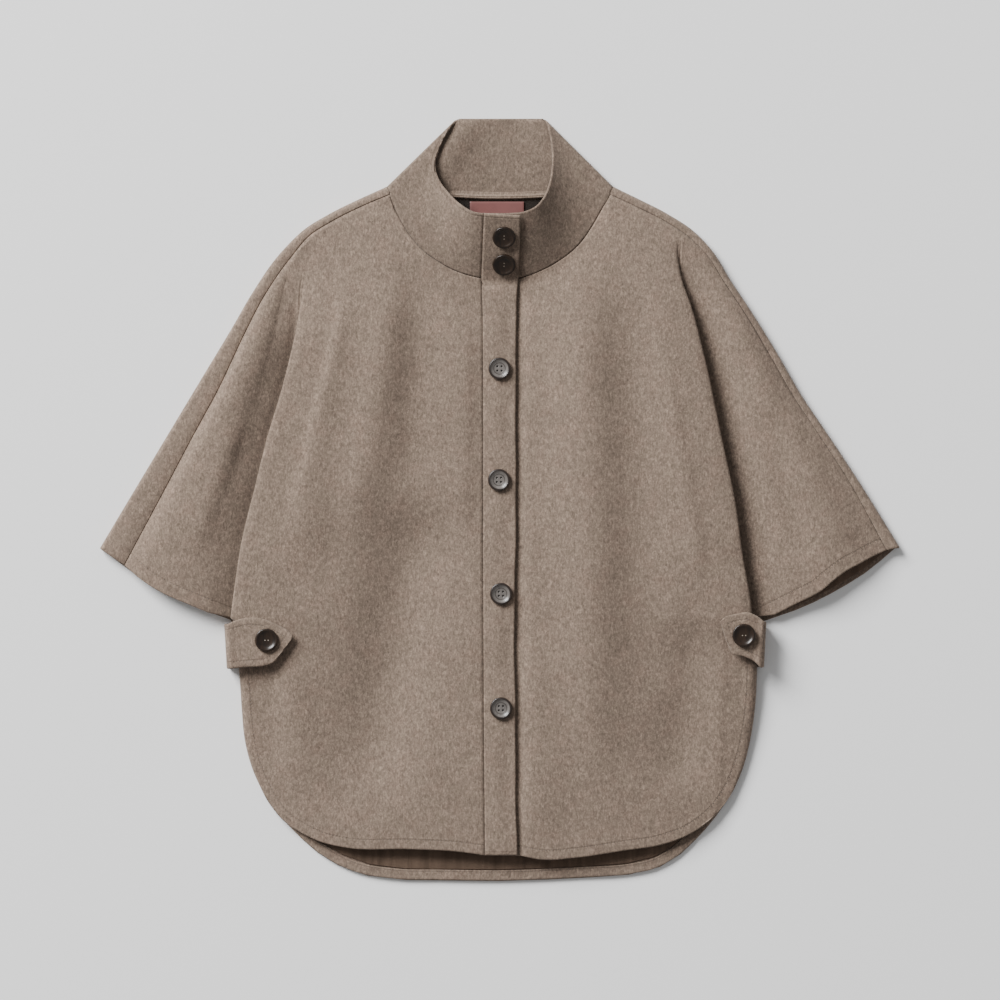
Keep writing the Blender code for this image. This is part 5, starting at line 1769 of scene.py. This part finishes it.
class PONCHO_OT_inside(bpy.types.Operator):
    """The lining, the strip inside the back hem, the neck seam and the bare label"""

    bl_idname = "poncho.inside"
    bl_label = "Lining and label"

    def execute(self, context):
        cloth = cloth_settings()
        grid, cells = lining_surface(cloth)
        brown = lining_material("twill_lining", cloth.lining_colour)
        details = {"cells": cells, "normals": np.zeros(grid.shape) + UP, "rim": RIMS["lining"]}
        sew("lining_cloth", "back_lining", "lining", "back_cloth", grid, cloth.lining, brown, **details)
        _, strip = facing_strip(cloth)
        line = np.repeat(FACING_STITCH_IN - np.array(FACING_IN)[:, None], FACING_COLS, axis=1)
        details = {"normals": np.zeros(strip.shape) + UP, "line": line, "rim": RIMS["facing"]}
        stands_for = "back_hem_facing"
        sew("hem_facing_cloth", stands_for, "wool", "back_cloth", strip, cloth.facing, wool(), **details)
        ridge = neck_ridge()
        details = {"line": np.full(ridge.shape[:2], NO_LINE), "rim": RIMS["ridge"]}
        sew("neck_ridge_cloth", "", "wool", "back_cloth", ridge, RIDGE_THICK * MM, wool(), **details)
        x = np.linspace(LABEL_X[0], LABEL_X[1], 28)
        y = np.linspace(LABEL_Y[1], LABEL_Y[0], 14)
        label = np.stack(np.broadcast_arrays(x[None], y[:, None], 0.0), axis=2).copy()
        top = LINING_BASE + (cloth.lining + cloth.label) / MM + LABEL_GAP
        loose = soft_step((LABEL_Y[1] - y)[:, None] / 12)
        label[..., 2] = top + LABEL_WAVE * np.sin(x[None] / 9.0) * loose
        rose = label_material("woven_label", cloth.label_colour)
        details = {"rim": RIMS["label"]}
        sew("neck_label_cloth", "neck_label", "label", "lining_cloth", label, cloth.label, rose, **details)
        return {"FINISHED"}


def tab_surface(side, cloth):
    """A waist tab: over the front from its lifted point, round the side edge and in to the back's edge."""
    rows = TABS[side]
    half = HALVES[side]
    out = half["out"]
    grid, cells, _, _ = front_surface(side, cloth)
    under, _ = upward(grid, cells, out, 0.2)
    t = np.linspace(0, 1, 5)
    x = rows["upper_x"][:, None] + (rows["lower_x"] - rows["upper_x"])[:, None] * t
    y = rows["upper_y"][:, None] + (rows["lower_y"] - rows["upper_y"])[:, None] * t
    near_x = np.abs(under[None, :, 0] - x[:, 2, None]) < TAB_LOOK
    below_top = under[None, :, 1] < rows["upper_y"][:, None] + 3
    above_foot = under[None, :, 1] > rows["lower_y"][:, None] - 3
    high = np.where(near_x & below_top & above_foot, under[None, :, 2], -1).max(axis=1)
    high = np.where(high < 0, high[-2], high) + cloth.tab / MM + TAB_CLEAR + rows["lift"]
    base = np.stack([x, y, np.repeat(high[:, None], len(t), axis=1)], axis=2)[:-1]
    outline = back_outline(side, np.linspace(0, 1, 60))
    foot_y = np.minimum(y[-1], outline[0, 1] - 2)
    turn = []
    for reach, share, above, drop in zip(*TAB_TURN.values()):
        side_y = y[-1] + (foot_y - y[-1]) * drop
        z = high[-2] * share + above
        turn.append(np.stack([x[-1] - out * reach, side_y, z + 0 * side_y], axis=1))
    inner_x = np.interp(-foot_y, -outline[:, 1], outline[:, 0]) + out * TAB_TO_BACK
    turn.append(np.stack([inner_x, foot_y, 0 * foot_y], axis=1))
    knots = np.concatenate([base, np.array(turn)])
    fine = refine(knots.transpose(1, 0, 2), 5).transpose(1, 0, 2)
    fine = refine(fine, 4)
    fine[..., 2] = np.maximum(fine[..., 2], 0)
    return fine


def tab_outline(side):
    """The tab's edge seen from above, round from its upper corner at the side to the lower one."""
    rows = TABS[side]
    upper = columns(rows, "upper_x upper_y")[::-1]
    lower = columns(rows, "lower_x lower_y")
    return np.concatenate([upper, lower])


class PONCHO_OT_tabs(bpy.types.Operator):
    """The pointed waist tabs, buttoned to the fronts and carried round the side edges"""

    bl_idname = "poncho.tabs"
    bl_label = "Tabs"

    def execute(self, context):
        cloth = cloth_settings()
        for side, half in HALVES.items():
            grid = tab_surface(side, cloth)
            reach = edge_distance(grid, tab_outline(side)) - cloth.tab_stitch / MM
            name = "tab_" + side
            front = "front_" + side + "_cloth"
            details = {"line": reach, "rim": RIMS["tab"]}
            sew(name + "_cloth", name, "wool", front, grid, cloth.tab, wool(), -half["out"], **details)
        return {"FINISHED"}


def clear_of(line, outline, distance):
    """The points of an inset line that keep their distance from the outline, so that corners are clean."""
    return line[edge_distance(line[:, None], outline)[:, 0] > distance - 0.2]


def stitch(name, line, surface, cells, flip):
    """A row of sewn stitches along a line of places, set in the surface that they hold."""
    cloth = cloth_settings()
    pitch = cloth.stitch_length / MM
    place, way = even_line(line, pitch)
    high, up = heights_on(surface, cells, flip, place)
    spots = np.concatenate([place, high[:, None] - 0.1], axis=1)
    ways = np.concatenate([way, np.zeros((len(way), 1))], axis=1)
    ways = unit(ways - up * (ways * up).sum(axis=1, keepdims=True))
    thread = thread_material("sewing_thread", cloth.thread_colour)
    made = thread_mesh(name, spots, ways, up, pitch * 0.66, cloth.thread_width / MM, thread)
    dress(made, "")


class PONCHO_OT_stitching(bpy.types.Operator):
    """The topstitching of hems, side edges, cuffs, tabs and the back's facing"""

    bl_idname = "poncho.stitching"
    bl_label = "Stitching"

    def execute(self, context):
        cloth = cloth_settings()
        for side, half in HALVES.items():
            grid, cells, _, _ = front_surface(side, cloth)
            out = half["out"]
            outline = hem_outline(side)
            reach = cloth.hem_stitch / MM
            line = clear_of(inset_line(outline, reach, out), outline, reach)
            stitch("hem_stitches_" + side, line[line[:, 0] * out > 19], grid, cells, out)
            outline = along(half["cuff"], "x y", np.linspace(0, 1, 90))
            line = inset_line(outline, cloth.cuff_stitch / MM, out)
            stitch("cuff_stitches_" + side, line, grid, cells, out)
            tab = tab_surface(side, cloth)
            outline = tab_outline(side)
            even, _ = even_line(outline, 0.7)
            reach = cloth.tab_stitch / MM
            line = clear_of(inset_line(even, reach, out), outline, reach)
            line = line[line[:, 0] * out < np.abs(outline[0, 0]) - 7]
            stitch("tab_stitches_" + side, line, tab, all_cells(tab), -out)
        hem, strip = facing_strip(cloth)
        stitch("facing_stitches", inset_line(hem, FACING_STITCH_IN, 1), strip, all_cells(strip), 1)
        return {"FINISHED"}


class PONCHO_OT_buttons(bpy.types.Operator):
    """The dark and the grey buttons with the thread that shows in them"""

    bl_idname = "poncho.buttons"
    bl_label = "Buttons"

    def execute(self, context):
        cloth = cloth_settings()
        sizes = context.scene.poncho_buttons
        dark = dark_button_material("dark_horn", sizes.dark_colour)
        grey = grey_button_material("grey_shell", sizes.grey_colour, sizes.rim_colour)
        side_by_side = ((-DARK_HOLE_OUT, 0.0), (DARK_HOLE_OUT, 0.0))
        above = ((0.0, -DARK_HOLE_OUT), (0.0, DARK_HOLE_OUT))
        reach = sizes.hole_spacing / MM / 2
        square = tuple((a * reach, b * reach) for a in (-1, 1) for b in (-1, 1))
        placket = placket_surface(cloth)
        every = []
        for name, x, y, kind in BUTTONS:
            across = (sizes.dark_across if kind == "dark" else sizes.grey_across) / MM
            span = across * 0.36
            near = np.hypot(placket[..., 0] - x, placket[..., 1] - y) < span + 2
            slope = (placket_height(y + span) - placket_height(y - span)) / (2 * span)
            tilt = math.atan(slope)
            over = (placket[..., 2] - slope * (placket[..., 1] - y))[near].max()
            place = (x, y, over + BUTTON_GAP / math.cos(tilt))
            every.append((name, kind, across, place, tilt, above if kind == "dark" else square))
        for side, (x, y) in TAB_BUTTONS.items():
            tab = tab_surface(side, cloth)
            near = np.hypot(tab[..., 0] - x, tab[..., 1] - y) < BUTTON_NEAR
            place = (x, y, tab[..., 2][near].max() + BUTTON_GAP)
            every.append(("tab_button_" + side, "dark", sizes.dark_across / MM, place, 0.0, side_by_side))
        for name, kind, across, place, tilt, holes in every:
            material = dark if kind == "dark" else grey
            made = button_mesh(name + "_turned", across, place, tilt, material, holes, *HOLES[kind])
            dress(made, name)
        return {"FINISHED"}


class PONCHO_OT_stage(bpy.types.Operator):
    """The pale floor, the soft lights and the camera straight above"""

    bl_idname = "poncho.stage"
    bl_label = "Stage"

    def execute(self, context):
        stage = context.scene.poncho_stage
        corner = np.array([-FLOOR_REACH, FLOOR_REACH])
        floor = np.stack(np.broadcast_arrays(corner[None], -corner[:, None], FLOOR_Z), axis=2)
        at = np.array([[0, 2, 3, 1]])
        pale = floor_material("pale_floor", stage.floor_colour)
        made = quad_mesh("floor", floor.reshape(-1, 3), at, pale)
        world = bpy.data.worlds.new("studio")
        world.use_nodes = True
        light = world.node_tree.nodes["Background"]
        light.inputs["Color"].default_value = (1, 1, 1, 1)
        light.inputs["Strength"].default_value = stage.fill
        context.scene.world = world
        lamp = bpy.data.lights.new("key", "AREA")
        lamp.energy = stage.key_power
        lamp.size = stage.key_size
        key = bpy.data.objects.new("key", lamp)
        x, y, z = KEY_PLACE
        key.location = KEY_PLACE
        key.rotation_euler = (math.atan2(math.hypot(x, y), z), 0, math.atan2(-x, y) + math.pi)
        context.scene.collection.objects.link(key)
        lens = bpy.data.cameras.new("camera")
        lens.sensor_width = SENSOR
        lens.lens = SENSOR * stage.camera_height / stage.view_width
        camera = bpy.data.objects.new("camera", lens)
        camera.location = (0, 0, stage.camera_height)
        context.scene.collection.objects.link(camera)
        context.scene.camera = camera
        return {"FINISHED"}


class PONCHO_PT_sidebar(bpy.types.Panel):
    """The poncho's pieces and their sizes"""

    bl_idname = "PONCHO_PT_sidebar"
    bl_label = "Poncho"
    bl_space_type = "VIEW_3D"
    bl_region_type = "UI"
    bl_category = "Poncho"

    def draw(self, context):
        for step in STEPS:
            self.layout.operator(step.bl_idname)
        for name in GROUPS:
            group = getattr(context.scene, name)
            box = self.layout.box()
            for key in group.__annotations__:
                box.prop(group, key)


STEPS = (
    PONCHO_OT_back,
    PONCHO_OT_fronts,
    PONCHO_OT_collar,
    PONCHO_OT_placket,
    PONCHO_OT_inside,
    PONCHO_OT_tabs,
    PONCHO_OT_stitching,
    PONCHO_OT_buttons,
    PONCHO_OT_stage,
)
GROUPS = {
    "poncho_cloth": PONCHO_PG_cloth,
    "poncho_buttons": PONCHO_PG_buttons,
    "poncho_stage": PONCHO_PG_stage,
}


def register():
    for name, group in GROUPS.items():
        bpy.utils.register_class(group)
        setattr(bpy.types.Scene, name, PointerProperty(type=group))
    for step in STEPS:
        bpy.utils.register_class(step)
    bpy.utils.register_class(PONCHO_PT_sidebar)


def unregister():
    bpy.utils.unregister_class(PONCHO_PT_sidebar)
    for step in reversed(STEPS):
        bpy.utils.unregister_class(step)
    for name, group in reversed(GROUPS.items()):
        delattr(bpy.types.Scene, name)
        bpy.utils.unregister_class(group)


def main():
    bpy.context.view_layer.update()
    register()
    bpy.ops.poncho.back()
    bpy.ops.poncho.fronts()
    bpy.ops.poncho.collar()
    bpy.ops.poncho.placket()
    bpy.ops.poncho.inside()
    bpy.ops.poncho.tabs()
    bpy.ops.poncho.stitching()
    bpy.ops.poncho.buttons()
    bpy.ops.poncho.stage()


if __name__ == "__main__":
    main()
